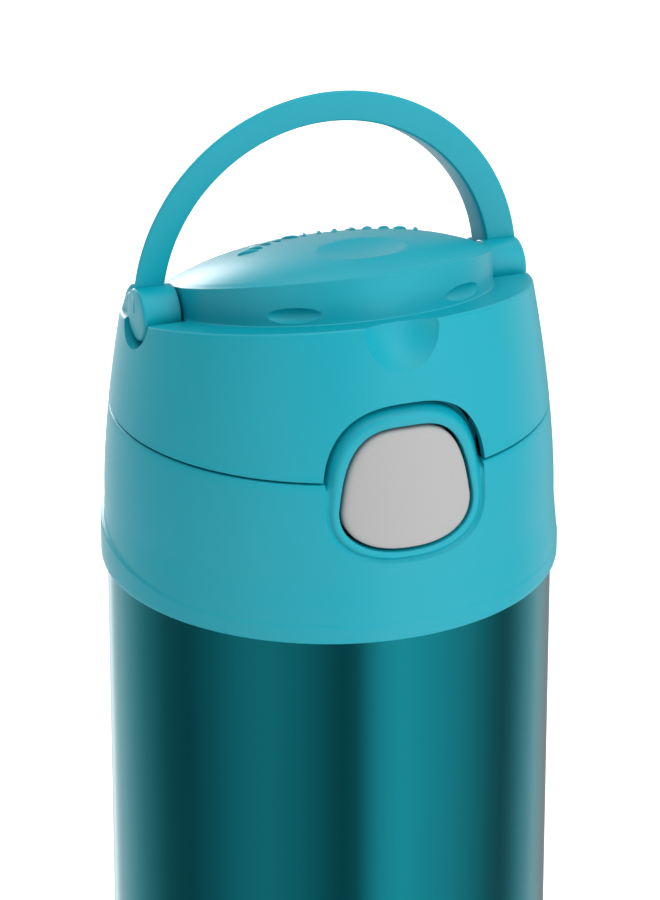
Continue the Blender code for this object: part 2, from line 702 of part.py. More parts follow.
# ---- Mouthpiece and straw ------------------------------------------------------------
def mouthpiece_base():
    """Lower half of the silicone mouthpiece: flange, socket and the sleeve over the straw."""
    low = LID + NECK_HEIGHT + 0.0012
    step = PLATFORM_TOP - 0.0030
    chain = [
        (SPOUT_BORE + 0.0003, PLATFORM_TOP - 0.0012),
        (SPOUT_BORE + 0.0003, step),
        (STRAW_RADIUS + GAP, step - 0.0004),
        (STRAW_RADIUS + GAP, low),
        (STRAW_RADIUS + 0.0013, low),
        (STRAW_RADIUS + 0.0013, PLATFORM_TOP + GAP),
        (0.0070, PLATFORM_TOP + GAP),
        (0.0070, PLATFORM_TOP + 0.0009),
        (0.0065, PLATFORM_TOP + 0.0013),
        (0.0044, PLATFORM_TOP + 0.0013),
    ]
    socket = SPOUT_RADIUS + GAP
    for i in range(4):
        angle = math.radians(-27 - 11 * i)
        chain.append((socket * math.cos(angle), SPOUT_PIVOT + socket * math.sin(angle)))
    made = turned("mouthpiece_base", chain, 24, (0.0, SPOUT_OFFSET))
    return finish(made, "silicone", SILICONE, 0.55)


def mouthpiece():
    """Upper half of the mouthpiece, folded forward as the shut cover holds it."""
    pivot = Vector((0, SPOUT_OFFSET, SPOUT_PIVOT))
    lean = Vector((0, -math.sin(SPOUT_LEAN), math.cos(SPOUT_LEAN)))
    ball = turned("mouthpiece", [(0, SPOUT_PIVOT - SPOUT_RADIUS)]
                  + arc(0, SPOUT_PIVOT, SPOUT_RADIUS, -67.5, 67.5, 6)
                  + [(0, SPOUT_PIVOT + SPOUT_RADIUS)], 24, (0.0, SPOUT_OFFSET), origin=pivot)
    join(ball, rod("guide_spout", pivot, pivot + lean * SPOUT_LENGTH, SPOUT_RADIUS * 0.93, 24))
    join(ball, rod("guide_spout_lip", pivot + lean * (SPOUT_LENGTH - 0.0028),
                   pivot + lean * (SPOUT_LENGTH - 0.0006), SPOUT_RADIUS * 1.06, 24))
    cut(ball, rod("cut_spout", pivot - lean * 0.0008, pivot + lean * (SPOUT_LENGTH + 0.001),
                  SPOUT_BORE, 16))
    cut(ball, rod("cut_spout_foot", pivot - Vector((0, 0, 0.006)), pivot + Vector((0, 0, 0.0006)),
                  SPOUT_BORE * 0.95, 16))
    return finish(ball, "silicone", SILICONE, 0.55)


def straw():
    low = LINER_FLOOR + SHEET + STRAW_FLOOR_GAP
    made = rod("straw", (0, SPOUT_OFFSET, low), (0, SPOUT_OFFSET, PLATFORM_TOP - 0.0040),
               STRAW_RADIUS, 20, STRAW_BORE)
    return finish(made, "straw_plastic", STRAW_WHITE, 0.3)


# ---- Cover ---------------------------------------------------------------------------
def cover_chain(inset, bottom, radius):
    """Section of the cover's top and side, moved inwards by an inset."""
    chain = [(0, drum_height(0) + DOME_RISE - inset)]
    for share in (0.3, 0.52, 0.7, 0.85, 0.95):
        def dome(angle, share=share):
            r = drum_top_radius(angle, radius) * share
            rise = DOME_RISE * (1 - share ** DOME_POWER)
            return r, drum_height(-r * math.cos(angle)) + rise - inset
        chain.append(dome)

    def drum_edge(angle, back=0.0002, drop=-0.0001):
        r = drum_top_radius(angle, radius)
        return r - back, drum_height(-r * math.cos(angle)) - inset - drop

    chain.append(drum_edge)
    chain.append(lambda angle: drum_edge(angle, 0.0, 0.0006))
    chain.append(lambda angle: (radius, ledge_height(-radius * math.cos(angle), inset)))

    def rim(angle):
        height = LEDGE_HEIGHT
        for _ in range(6):
            height = LEDGE_HEIGHT + LEDGE_SLOPE * lid_radius(height) * math.cos(angle)
        return height

    def flat_edge(angle):
        r = lid_radius(rim(angle)) - inset - LEDGE_EDGE
        return r, ledge_height(-r * math.cos(angle), inset)

    chain.append(flat_edge)
    for share in (1.0, 0.66, 0.33, 0.0):
        def side(angle, share=share):
            top = rim(angle) - inset - LEDGE_EDGE * 0.8
            height = bottom + (top - bottom) * share
            return lid_radius(height) - inset, LID + height
        chain.append(side)
    chain.append((0, LID + bottom))
    return chain


def scoop_ball(name, grow):
    """The ball that hollows the thumb scoop, or the thicker wall behind it."""
    radius = (SCOOP_RADIUS ** 2 + SCOOP_DEPTH ** 2) / (2 * SCOOP_DEPTH)
    rim = LEDGE_HEIGHT + LEDGE_SLOPE * lid_radius(TAPER_END)
    middle = lid_radius(rim) + radius - SCOOP_DEPTH
    height = LID + rim + 0.0006
    size = radius + grow
    chain = [(0, height - size)] + arc(0, height, size, -75, 75, 10) + [(0, height + size)]
    return turned(name, chain, 36, (0.0, -middle))


def cover_shell():
    seam = SEAM_HEIGHT + GAP / 2
    cover = turned("cover_shell", cover_chain(0.0, seam, DRUM_RADIUS),
                   origin=(0, HINGE_Y, HINGE_Z))
    hollow = turned("cut_cover_hollow",
                    cover_chain(LID_WALL, seam - 0.001, DRUM_RADIUS - LID_WALL), offset=0.5)
    for side in (-1, 1):
        cut(hollow, rod(f"guide_saddle_{side}", (side * SADDLE_START, 0, PIVOT),
                        (side * HANDLE_RADIUS, 0, PIVOT),
                        BOSS_RADIUS + BOSS_CLEARANCE + LID_WALL))
    cut(hollow, scoop_ball("guide_scoop_backing", LID_WALL))
    cut(cover, hollow)
    for side in (-1, 1):
        stop = PIVOT + STOP_RISE
        front = HANDLE_SETBACK + HANDLE_DEPTH + 0.0004
        back = front + 0.0052
        ear = prism(f"guide_stop_{side}", [
            (front, ledge_height(front) - 0.0008), (front, stop), (front + 0.0010, stop + 0.0002),
            (front + 0.0026, stop - 0.0012), (back, ledge_height(back) + 0.0002),
            (back, ledge_height(back) - 0.0008),
        ], "X", side * (BOSS_START + 0.0004), side * (HANDLE_RADIUS - 0.0016))
        join(cover, ear)
        cut(cover, rod(f"cut_notch_{side}", (side * SEAT, 0, PIVOT),
                       (side * (BAND_RADIUS + 0.001), 0, PIVOT), BOSS_RADIUS + BOSS_CLEARANCE))
        cut(cover, rod(f"cut_stud_{side}", (side * (STUD_END - GAP), 0, PIVOT),
                       (side * (BOSS_START + 0.001), 0, PIVOT), STUD_RADIUS + GAP))
    arch = bezel_outline(GAP)
    cut(cover, prism("cut_arch", arch, "Y", -BAND_RADIUS, -BAND_RADIUS * 0.7))
    # Keeper: a tab behind the arch's top, with a lip for the latch's nose.
    keeper_low = LID + BEZEL_MIDDLE + BEZEL_UP - 0.0027
    keeper = prism("guide_keeper", [
        (-KEEPER_FRONT, keeper_low), (-LIP_BACK, keeper_low), (-LIP_BACK, keeper_low + 0.0011),
        (-KEEPER_BACK, keeper_low + 0.0013), (-KEEPER_BACK, keeper_low + 0.0100),
        (-KEEPER_FRONT, keeper_low + 0.0100),
    ], "X", -0.0045, 0.0045)
    join(cover, keeper)
    hinge_solid = block("guide_hinge_solid",
                        (-KNUCKLE_HALF_WIDTH - 0.001, HINGE_Y - 0.0060, HINGE_Z - 0.0060),
                        (KNUCKLE_HALF_WIDTH + 0.001, HINGE_Y + 0.0060, HINGE_Z + 0.0080))
    trim(hinge_solid, lid_envelope("guide_knuckle_outside", inset=LID_WALL / 2,
                                   low=0.012, high=0.040))
    join(cover, hinge_solid)
    window = HINGE_HALF_WIDTH + 2 * GAP
    opening = block("cut_hinge_window", (-window, HINGE_Y - 0.0070, HINGE_Z - 0.008),
                    (window, BAND_RADIUS + 0.002, HINGE_Z + HINGE_BARREL + 0.0006))
    behind, above = BAND_RADIUS + 0.004, HINGE_Z + 0.0100
    web_front = arc(HINGE_Y, HINGE_Z, HINGE_BARREL, 115, 360, 20)
    knuckle = [(web_front[0][0], above)] + web_front + [(behind, HINGE_Z), (behind, above)]
    cut(opening, prism("guide_knuckle", knuckle, "X", -KNUCKLE_HALF_WIDTH, KNUCKLE_HALF_WIDTH))
    cut(cover, opening)
    reach = KNUCKLE_HALF_WIDTH + GAP
    cut(cover, rod("cut_knuckle_hole", (-reach, HINGE_Y, HINGE_Z), (reach, HINGE_Y, HINGE_Z),
                   PIN_RADIUS + GAP))
    cut(cover, scoop_ball("cut_scoop", 0.0))
    return finish(cover, "cover_plastic", TEAL)


def pad_axis():
    """Start and direction of the sealing pad, in line with the folded mouthpiece."""
    lean = Vector((0, -math.sin(SPOUT_LEAN), math.cos(SPOUT_LEAN)))
    tip = Vector((0, SPOUT_OFFSET, SPOUT_PIVOT)) + lean * (SPOUT_LENGTH + GAP)
    return tip, lean


def cover_liner():
    """Inner cap of the cover, with the holder of the sealing pad."""
    drop = LID_WALL + GAP + 0.0001
    thick = 0.0012
    radius = COVER_LINER_RADIUS
    foot = LID + LEDGE_HEIGHT - 0.0060

    def section(inset, low, start):
        chain = []
        for share in start:
            def dome(angle, share=share):
                r = (radius - inset) * share
                spread = r / drum_top_radius(angle, DRUM_RADIUS - LID_WALL)
                height = drum_height(-r * math.cos(angle)) + DOME_RISE * (1 - spread ** DOME_POWER)
                return r, height - drop - inset
            chain.append(dome)
        chain.append((radius - inset, low))
        return chain

    shares = (0.35, 0.65, 0.88, 1.0)
    crown = drum_height(0) + DOME_RISE - drop
    outside = [(0, crown)] + section(0.0, foot, shares)
    inside = section(thick, foot, shares)[::-1] + [(0, crown - thick)]
    liner = turned("cover_liner", outside + inside, 32, origin=(0, HINGE_Y, HINGE_Z))
    tip, lean = pad_axis()
    holder = rod("guide_pad_holder", tip + lean * (0.0030 + GAP), tip + lean * 0.0140, 0.0040)
    trim(holder, turned("guide_liner_envelope", outside + [(0, foot)], 32))
    join(liner, holder)
    return finish(liner, "core_plastic", TEAL, 0.4)


def sealing_pad():
    tip, lean = pad_axis()
    pad = rod("sealing_pad", tip, tip + lean * 0.0030, 0.0050, 24, origin=tip)
    return finish(pad, "silicone", SILICONE, 0.55)


# ---- Carry handle ----------------------------------------------------------------------
def carry_handle():
    """Half-round handle with its two pivot bosses and studs, about its own axis."""
    middle = HANDLE_RADIUS - HANDLE_THICKNESS / 2
    depth_middle = HANDLE_SETBACK + HANDLE_DEPTH / 2
    half_u, half_v = HANDLE_THICKNESS / 2, HANDLE_DEPTH / 2
    # Middles of the section's rounded corners, and the degrees that each one spans.
    front, back = HANDLE_ROUND - half_v, half_v - HANDLE_ROUND
    corners = (
        (half_u - HANDLE_ROUND - HANDLE_LEAN, back, 22, 90),
        (HANDLE_ROUND - half_u - HANDLE_TUCK, back, 90, 188),
        (HANDLE_ROUND - half_u, front, 188, 270),
        (half_u - HANDLE_ROUND, front, 270, 382),
    )
    section = []
    for u, v, start, end in corners:
        for step in range(3):
            angle = math.radians(start + (end - start) * step / 2)
            section.append((u + HANDLE_ROUND * math.cos(angle), v + HANDLE_ROUND * math.sin(angle)))
    path = []
    steps = 32
    for i in range(steps + 1):
        angle = math.pi * i / steps
        out = Vector((math.cos(angle), 0, math.sin(angle)))
        centre = Vector((0, depth_middle, PIVOT)) + out * middle
        path.append((centre, out, Vector((0, 1, 0))))
    handle = swept("carry_handle", path, section, origin=(0, 0, PIVOT))
    for side in (-1, 1):
        join(handle, rod(f"guide_boss_{side}", (side * BOSS_START, 0, PIVOT),
                         (side * (HANDLE_RADIUS - 0.0001), 0, PIVOT), BOSS_RADIUS))
        heel = HANDLE_DEPTH / 2 - 0.0001
        join(handle, rod(f"guide_heel_{side}",
                         (side * (HANDLE_RADIUS - HANDLE_THICKNESS + 0.0001), depth_middle, PIVOT),
                         (side * (HANDLE_RADIUS - 0.0003), depth_middle, PIVOT), heel))
        join(handle, rod(f"guide_stud_{side}", (side * STUD_END, 0, PIVOT),
                         (side * (BOSS_START + 0.001), 0, PIVOT), STUD_RADIUS, 24))
    return finish(handle, "handle_plastic", TEAL)


def main():
    for old in list(bpy.data.objects):
        bpy.data.objects.remove(old)
    for make in (
        outer_shell, inner_liner, base_plate, vacuum_seal_plug, getter_disc,
        lid_shell, lid_core, lid_gasket, vent_valve, push_button, latch_hook, button_spring,
        hinge_pin, hinge_spring, mouthpiece_base, mouthpiece, straw,
        cover_shell, cover_liner, sealing_pad, carry_handle,
    ):
        make()


main()
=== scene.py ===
"""Draws an insulated drinking bottle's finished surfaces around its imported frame.

Lengths are metres, +Z is up, and the push button faces -Y. Angles round the bottle are
measured from the front, towards +X.
"""

import json
import math

import bmesh
import bpy
from bpy.props import FloatProperty, FloatVectorProperty, IntProperty, PointerProperty
from bpy.types import Operator, Panel, PropertyGroup
from mathutils import Matrix, Vector


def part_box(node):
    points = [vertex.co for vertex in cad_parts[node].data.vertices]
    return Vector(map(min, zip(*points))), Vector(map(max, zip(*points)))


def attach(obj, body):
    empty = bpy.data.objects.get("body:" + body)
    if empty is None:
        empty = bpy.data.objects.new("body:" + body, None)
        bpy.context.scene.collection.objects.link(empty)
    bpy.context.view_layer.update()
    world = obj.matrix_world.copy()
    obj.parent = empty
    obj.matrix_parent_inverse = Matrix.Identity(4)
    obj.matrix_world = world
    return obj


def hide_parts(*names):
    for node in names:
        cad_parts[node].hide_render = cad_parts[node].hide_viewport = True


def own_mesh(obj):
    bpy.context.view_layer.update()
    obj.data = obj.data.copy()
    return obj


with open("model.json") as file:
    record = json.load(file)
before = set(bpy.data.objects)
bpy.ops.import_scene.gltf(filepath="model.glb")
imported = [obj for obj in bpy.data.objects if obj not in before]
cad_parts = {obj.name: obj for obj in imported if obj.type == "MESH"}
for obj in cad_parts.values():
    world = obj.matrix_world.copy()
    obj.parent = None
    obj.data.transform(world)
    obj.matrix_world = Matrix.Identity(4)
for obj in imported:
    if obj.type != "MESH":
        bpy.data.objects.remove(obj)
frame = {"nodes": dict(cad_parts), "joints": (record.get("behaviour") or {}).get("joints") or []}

bl_info = {
    "name": "Insulated Drinking Bottle",
    "version": (1, 0, 0),
    "blender": (4, 5, 0),
    "location": "View3D > Sidebar > Bottle",
    "description": "Draws a steel bottle with a flip cover, a push button and a carry handle",
    "category": "Object",
}

MM = 0.001
GAP = 0.3 * MM                  # clearance between pieces that touch
LID_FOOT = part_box("lid_shell")[0].z
HANDLE_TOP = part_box("carry_handle")[1].z
FINE = 288                      # facets round the large pieces
MEDIUM = 96
SMALL = 48


def hex_colour(code):
    """Linear RGB of an sRGB hex value."""
    channels = [int(code[i:i + 2], 16) / 255 for i in (1, 3, 5)]
    return [c / 12.92 if c <= 0.04045 else ((c + 0.055) / 1.055) ** 2.4 for c in channels]


def joint_of(name):
    """A joint of the frame, by name."""
    return next(joint for joint in frame["joints"] if joint["name"] == name)


def length(name, description, millimetres):
    return FloatProperty(name=name, description=description, default=millimetres * MM,
                         unit="LENGTH", precision=5)


def share(name, description, value):
    return FloatProperty(name=name, description=description, default=value, precision=3)


def colour(name, description, code):
    return FloatVectorProperty(name=name, description=description, subtype="COLOR", size=3,
                               min=0.0, max=1.0, default=hex_colour(code))


# ---- Sizes and colours ---------------------------------------------------------
class BottleBodySizes(PropertyGroup):
    """The steel body"""
    radius: length("Radius", "Outside radius of the steel body", 34.0)
    lid_foot: length("Lid foot", "Height of the lid's bottom edge", LID_FOOT / MM)
    neck_radius: length("Neck radius", "Outside radius of the threaded neck", 27.0)
    neck_height: length("Neck height", "Mouth rim above the lid's bottom edge", 10.8)
    foot_round: length("Foot rounding", "Rounding under the body", 3.0)
    shoulder_round: length("Shoulder rounding", "Rounding of the shoulder", 3.0)
    sheet: length("Sheet", "Thickness of the steel", 0.8)
    thread_pitch: length("Thread pitch", "Rise of the neck's thread in a turn", 3.5)
    thread_depth: length("Thread depth", "Height of the thread's ridge", 0.9)
    thread_start: length("Thread start", "Lowest turn above the lid's bottom edge", 4.9)


class BottleLidSizes(PropertyGroup):
    """The lid and its cover"""
    band_proud: length("Band stands proud", "Lower band beyond the steel body", 0.96)
    band_step: length("Band step", "Step from the band to the lid's side", 0.66)
    band_front: length("Band front height", "Top of the band at the front", 2.8)
    band_back: length("Band back height", "Top of the band at the back", 6.6)
    seam: length("Seam", "Split between lid and cover", 25.0)
    taper_start: length("Taper start", "The side is straight up to here", 10.8)
    taper_end: length("Taper end", "The taper is measured to here", 48.0)
    taper: length("Taper", "Radius lost over the taper", 4.5)
    taper_power: share("Taper power", "How late the side curves in", 1.65)
    wall: length("Wall", "Thickness of the mouldings", 1.6)
    ledge: length("Ledge height", "Cover's ledge on the axis", 41.56)
    ledge_slope: share("Ledge slope", "Rise of the ledge towards the front", 0.213)
    drum_radius: length("Drum radius", "Raised disc on the ledge", 24.6)
    drum: length("Drum height", "Top edge of the disc on the axis", 46.15)
    drum_slope: share("Drum slope", "Rise of the disc's top towards the front", 0.31)
    drum_draft: length("Drum draft", "Lean of the disc's front wall", 1.2)
    dome_rise: length("Dome rise", "Crown of the disc's top", 5.0)
    dome_power: share("Dome power", "How flat the crown is", 2.6)
    dimple_half_width: length("Dimple half width", "Thumb dimple, side to side", 8.8)
    dimple_half_length: length("Dimple half length", "Thumb dimple, front to back", 6.0)
    dimple_depth: length("Dimple depth", "Depth of the thumb dimple", 0.9)
    scoop_radius: length("Scoop radius", "Half width of the rim's thumb scoop", 6.4)
    scoop_depth: length("Scoop depth", "Depth of the rim's thumb scoop", 2.6)
    rib_count: IntProperty(name="Ribs", description="Grip ribs behind the dimple", default=13)


class BottleButtonSizes(PropertyGroup):
    """The push button and its surround"""
    surround_half_width: length("Surround half width", "Raised surround of the button", 12.6)
    surround_middle: length("Surround middle", "Height of its widest line", 21.0)
    surround_up: length("Surround up", "Its reach above the middle", 15.1)
    surround_down: length("Surround down", "Its reach below the middle", 8.9)
    half_width: length("Half width", "Half the button's width", 10.05)
    middle: length("Middle", "Height of the button's widest line", 20.5)
    up: length("Up", "Its reach above the middle", 11.8)
    down: length("Down", "Its reach below the middle", 6.3)
    clearance: length("Clearance", "Gap round the button", 0.45)
    depth: length("Depth", "Face to the back of the skirt", 5.0)


class BottleHandleSizes(PropertyGroup):
    """The carry handle"""
    radius: length("Radius", "Outer radius about the handle's axis",
                   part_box("carry_handle")[1].x / MM)
    thickness: length("Thickness", "Radial thickness", 4.7)
    depth: length("Depth", "Front to back", 5.0)
    setback: length("Setback", "Front face behind the axis", 0.5)
    pivot: length("Pivot", "Axis above the lid's bottom edge", 42.6)
    boss_radius: length("Boss radius", "Radius of the pivot bosses", 4.0)
    boss_start: length("Boss start", "Inner end of the bosses, from the middle", 24.8)
    stud_start: length("Stud start", "Inner end of the studs that the handle turns on", 23.3)
    stud_radius: length("Stud radius", "Radius of the studs", 1.8)
    lean: length("Lean", "How much smaller the arch is at its back", 1.9)


class BottleHingeSizes(PropertyGroup):
    """The cover's hinge"""
    half_width: length("Half width", "Half the width of the lid's two ears", 15.6)
    window: length("Window", "Half the width of the cover's window for the ears", 16.2)
    knuckle: length("Knuckle", "Half the width of the cover's barrel", 6.1)
    barrel: length("Barrel", "Radius of the barrels", 4.7)
    pin_hole: length("Pin hole", "Radius of the pin's hole", 1.3)
    pin_reach: length("Pin reach", "Half the length of the pin's hole", 10.8)
    spring_bore: length("Spring bore", "Radius of the spring's bore", 2.15)
    spring_reach: length("Spring reach", "Where the spring's bore ends", 10.3)


class BottleColours(PropertyGroup):
    """The colours of the finishes"""
    plastic: colour("Lid plastic", "Moulded lid, cover and handle", "#0097A8")
    inner_plastic: colour("Inner plastic", "Mouldings inside the lid", "#088C9C")
    button: colour("Button", "Push button and its catch", "#A1A1A1")
    lacquer: colour("Lacquer", "Clear lacquer over the steel body", "#1A8C98")
    steel: colour("Steel", "Electropolished inner steel", "#C9CBCD")
    spring: colour("Spring", "Drawn spring wire", "#A9ABAE")
    silicone: colour("Silicone", "Mouthpiece and seals", "#DDE3E5")
    gasket: colour("Gasket", "Ring seal", "#8D9496")
    straw: colour("Straw", "Extruded straw", "#EEF2F3")
    floor: colour("Floor", "Studio floor", "#F6F6F6")


# ---- Shared shape -----------------------------------------------------------------
class Shape:
    """The places that several pieces share, worked out from the sizes."""

    def __init__(self, scene):
        self.body = scene.bottle_body
        self.lid = scene.bottle_lid
        self.button = scene.bottle_button
        self.handle = scene.bottle_handle
        self.knuckles = scene.bottle_hinge
        self.foot = self.body.lid_foot
        self.band = self.body.radius + self.lid.band_proud
        self.side = self.band - self.lid.band_step
        self.rim = self.foot + self.body.neck_height
        self.seam = self.foot + self.lid.seam
        self.pivot = self.foot + self.handle.pivot
        self.drum_radius = self.lid.drum_radius
        self.hinge = Vector(joint_of("cover_hinge")["pos_m"])

    def side_radius(self, height):
        """Outside radius of the lid and cover at a height above the lid's bottom edge."""
        lid = self.lid
        run = max(0.0, (height - lid.taper_start) / (lid.taper_end - lid.taper_start))
        return self.side - lid.taper * run ** lid.taper_power

    def ledge(self, y):
        return self.foot + self.lid.ledge - self.lid.ledge_slope * y

    def drum(self, y):
        return self.foot + self.lid.drum - self.lid.drum_slope * y

    def drum_top(self, angle, radius):
        """Radius of the disc's top edge, where its front wall leans back."""
        return radius - self.lid.drum_draft * max(0.0, math.cos(angle)) ** 2

    def rim_height(self, angle):
        """Height above the lid's bottom edge at which the ledge meets the cover's side."""
        height = self.lid.ledge
        for _ in range(8):
            reach = self.side_radius(height) * math.cos(angle)
            height = self.lid.ledge + self.lid.ledge_slope * reach
        return height

    def dome_point(self, angle, radius, part, sink):
        """A point of the crowned top: part is the share of the way out to its edge."""
        r = self.drum_top(angle, radius) * part
        rise = self.lid.dome_rise * (1 - part ** self.lid.dome_power)
        return r, self.drum(-r * math.cos(angle)) + rise - sink

    def on_side(self, x, height, depth):
        """A point under the lid's front surface, at a depth below it."""
        radius = self.side_radius(height - self.foot) - depth
        return Vector((x, -math.sqrt(max(0.0, radius * radius - x * x)), height))


def smoothstep(value):
    value = min(1.0, max(0.0, value))
    return value * value * (3 - 2 * value)


def arc(centre_r, centre_z, radius, start, end, steps):
    """Points on an arc in the (radius, height) plane, angles in degrees from +radius."""
    points = []
    for i in range(steps + 1):
        angle = math.radians(start + (end - start) * i / steps)
        points.append((centre_r + radius * math.cos(angle), centre_z + radius * math.sin(angle)))
    return points


def egg(shape, half_width, middle, up, down, power_up, power_down, taper=0.0, grow=0.0, count=160):
    """A rounded outline round the front's centre line, as (x, height) points."""
    points = []
    for i in range(count):
        angle = 2 * math.pi * i / count
        across, along = math.cos(angle), math.sin(angle)
        power, reach = (power_up, up) if along >= 0 else (power_down, down)
        u = math.copysign(abs(across) ** (2 / power), across)
        v = math.copysign(abs(along) ** (2 / power), along)
        narrow = 1 - taper * max(0.0, v)
        points.append((u * (half_width + grow) * narrow, shape.foot + middle + v * (reach + grow)))
    return points


def surround_outline(shape, grow=0.0):
    b = shape.button
    return egg(shape, b.surround_half_width, b.surround_middle, b.surround_up, b.surround_down,
               2.6, 2.6, grow=grow)


def button_outline(shape, grow=0.0):
    b = shape.button
    return egg(shape, b.half_width, b.middle, b.up, b.down, 3.2, 2.4, taper=0.16, grow=grow)


# ---- Mesh tools -----------------------------------------------------------------------
def new_object(name, points, faces):
    """A closed mesh with its faces pointing out."""
    mesh = bpy.data.meshes.new(name)
    mesh.from_pydata(points, [], faces)
    made = bpy.data.objects.new(name, mesh)
    bpy.context.scene.collection.objects.link(made)
    face_out(made)
    return made


def face_out(made):
    bm = bmesh.new()
    bm.from_mesh(made.data)
    bmesh.ops.recalc_face_normals(bm, faces=bm.faces)
    bm.to_mesh(made.data)
    bm.free()


def rings_object(name, rings, closed):
    """Quads between rings of points; a ring of one point is a pole."""
    points, starts = [], []
    for ring in rings:
        starts.append(len(points))
        points.extend(ring)
    faces = []
    pairs = list(zip(range(len(rings)), range(1, len(rings))))
    if closed:
        pairs.append((len(rings) - 1, 0))
    for a, b in pairs:
        sides = max(len(rings[a]), len(rings[b]))
        for i in range(sides):
            j = (i + 1) % sides
            corners = []
            for ring, k in ((a, i), (a, j), (b, j), (b, i)):
                corner = starts[ring] + (k if len(rings[ring]) > 1 else 0)
                if corner not in corners:
                    corners.append(corner)
            faces.append(corners)
    return new_object(name, points, faces)


def turned(name, chain, sides, place=None, offset=0.0):
    """A solid turned about an axis.

    chain holds (radius, height) points, or functions of the angle from the front that
    give them. A first and last radius of 0 are poles; otherwise the chain closes on
    itself. place moves the vertical axis to where it belongs.
    """
    rings = []
    for point in chain:
        if not callable(point) and point[0] == 0:
            rings.append([Vector((0, 0, point[1]))])
            continue
        ring = []
        for i in range(sides):
            angle = 2 * math.pi * (i + offset) / sides
            radius, height = point(angle) if callable(point) else point
            ring.append(Vector((radius * math.sin(angle), -radius * math.cos(angle), height)))
        rings.append(ring)
    if place:
        rings = [[place @ point for point in ring] for ring in rings]
    return rings_object(name, rings, closed=len(rings[0]) > 1)


def axis_place(start, direction):
    """Puts a turned solid's axis at a start point and along a direction."""
    turn = Vector(direction).to_track_quat("Z", "Y").to_matrix().to_4x4()
    return Matrix.Translation(start) @ turn


def rod(name, start, end, radius, sides=64, edge=0.0):
    """A cylinder between two points, with its edges rounded."""
    reach = (Vector(end) - Vector(start)).length
    chain = [(0, 0)]
    if edge:
        chain += arc(radius - edge, edge, edge, -90, 0, 5)
        chain += arc(radius - edge, reach - edge, edge, 0, 90, 5)
    else:
        chain += [(radius, 0), (radius, reach)]
    chain += [(0, reach)]
    return turned(name, chain, sides, axis_place(start, Vector(end) - Vector(start)))


def ellipsoid(name, centre, axes, tilt=None, sides=96):
    place = Matrix.Translation(centre)
    if tilt:
        place = place @ tilt.to_4x4()
    place = place @ Matrix.Diagonal((*axes, 1.0))
    chain = [(0, -1.0)] + arc(0, 0, 1.0, -86, 86, 43) + [(0, 1.0)]
    return turned(name, chain, sides, place)


def prism(name, outline, axis, start, end):
    """An outline of (u, height) points extruded along X or Y; u runs along the other one."""
    rings = []
    for depth in (start, end):
        if axis == "X":
            rings.append([Vector((depth, u, height)) for u, height in outline])
        else:
            rings.append([Vector((u, depth, height)) for u, height in outline])
    count = len(outline)
    faces = [[i, (i + 1) % count, count + (i + 1) % count, count + i] for i in range(count)]
    faces += [list(range(count)), list(range(count, 2 * count))]
    return new_object(name, rings[0] + rings[1], faces)


def block(name, low, high):
    outline = [(low[1], low[2]), (high[1], low[2]), (high[1], high[2]), (low[1], high[2])]
    return prism(name, outline, "X", low[0], high[0])


def settled(made):
    """Replaces an object's mesh by the one that its modifiers make, and removes them."""
    graph = bpy.context.evaluated_depsgraph_get()
    mesh = bpy.data.meshes.new_from_object(made.evaluated_get(graph))
    made.modifiers.clear()
    old, made.data = made.data, mesh
    mesh.name = made.name
    bpy.data.meshes.remove(old)
    return made


def clean(made):
    """Merges doubled points and splits every face into triangles."""
    bm = bmesh.new()
    bm.from_mesh(made.data)
    bmesh.ops.remove_doubles(bm, verts=bm.verts, dist=1e-6)
    bmesh.ops.dissolve_degenerate(bm, dist=1e-6, edges=bm.edges)
    bmesh.ops.triangulate(bm, faces=bm.faces)
    bm.to_mesh(made.data)
    bm.free()


def combine(target, tool, operation):
    """Cuts, joins or trims a solid with another one, which is then removed."""
    clean(target)
    clean(tool)
    modifier = target.modifiers.new("combine", "BOOLEAN")
    modifier.operation = operation
    modifier.solver = "EXACT"
    modifier.object = tool
    settled(target)
    bpy.data.objects.remove(tool)
    if not target.data.polygons:
        raise RuntimeError(f"{target.name} was cut away")
    return target


def cut(target, tool):
    return combine(target, tool, "DIFFERENCE")


def join(target, tool):
    return combine(target, tool, "UNION")


def trim(target, tool):
    return combine(target, tool, "INTERSECT")


def rounded(made, width):
    """Rounds every edge of a simple solid."""
    modifier = made.modifiers.new("round", "BEVEL")
    modifier.width = width
    modifier.segments = 3
    return settled(made)


def complete(made, body, slot, material, *nodes, crease=32):
    """Finishes a piece: smooth shading, its finish, its body and the frame nodes it stands for."""
    made.data.shade_smooth()
    made.data.set_sharp_from_angle(angle=math.radians(crease))
    made.data.materials.clear()
    made.data.materials.append(material)
    for polygon in made.data.polygons:
        polygon.material_index = 0
    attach(made, body)
    if nodes:
        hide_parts(*nodes)
    return made


def dress(material, *nodes):
    """Gives frame nodes that stay as they are a better finish."""
    for node in nodes:
        for slot in frame["nodes"][node].material_slots:
            slot.material = material


# ---- Materials ------------------------------------------------------------------------
def add(tree, kind, inputs=None, **settings):
    """Adds a node with its settings, and links or sets its inputs."""
    node = tree.nodes.new(kind)
    for key, value in settings.items():
        setattr(node, key, value)
    for socket, value in (inputs or {}).items():
        if isinstance(value, bpy.types.NodeSocket):
            tree.links.new(value, node.inputs[socket])
        else:
            node.inputs[socket].default_value = value
    return node


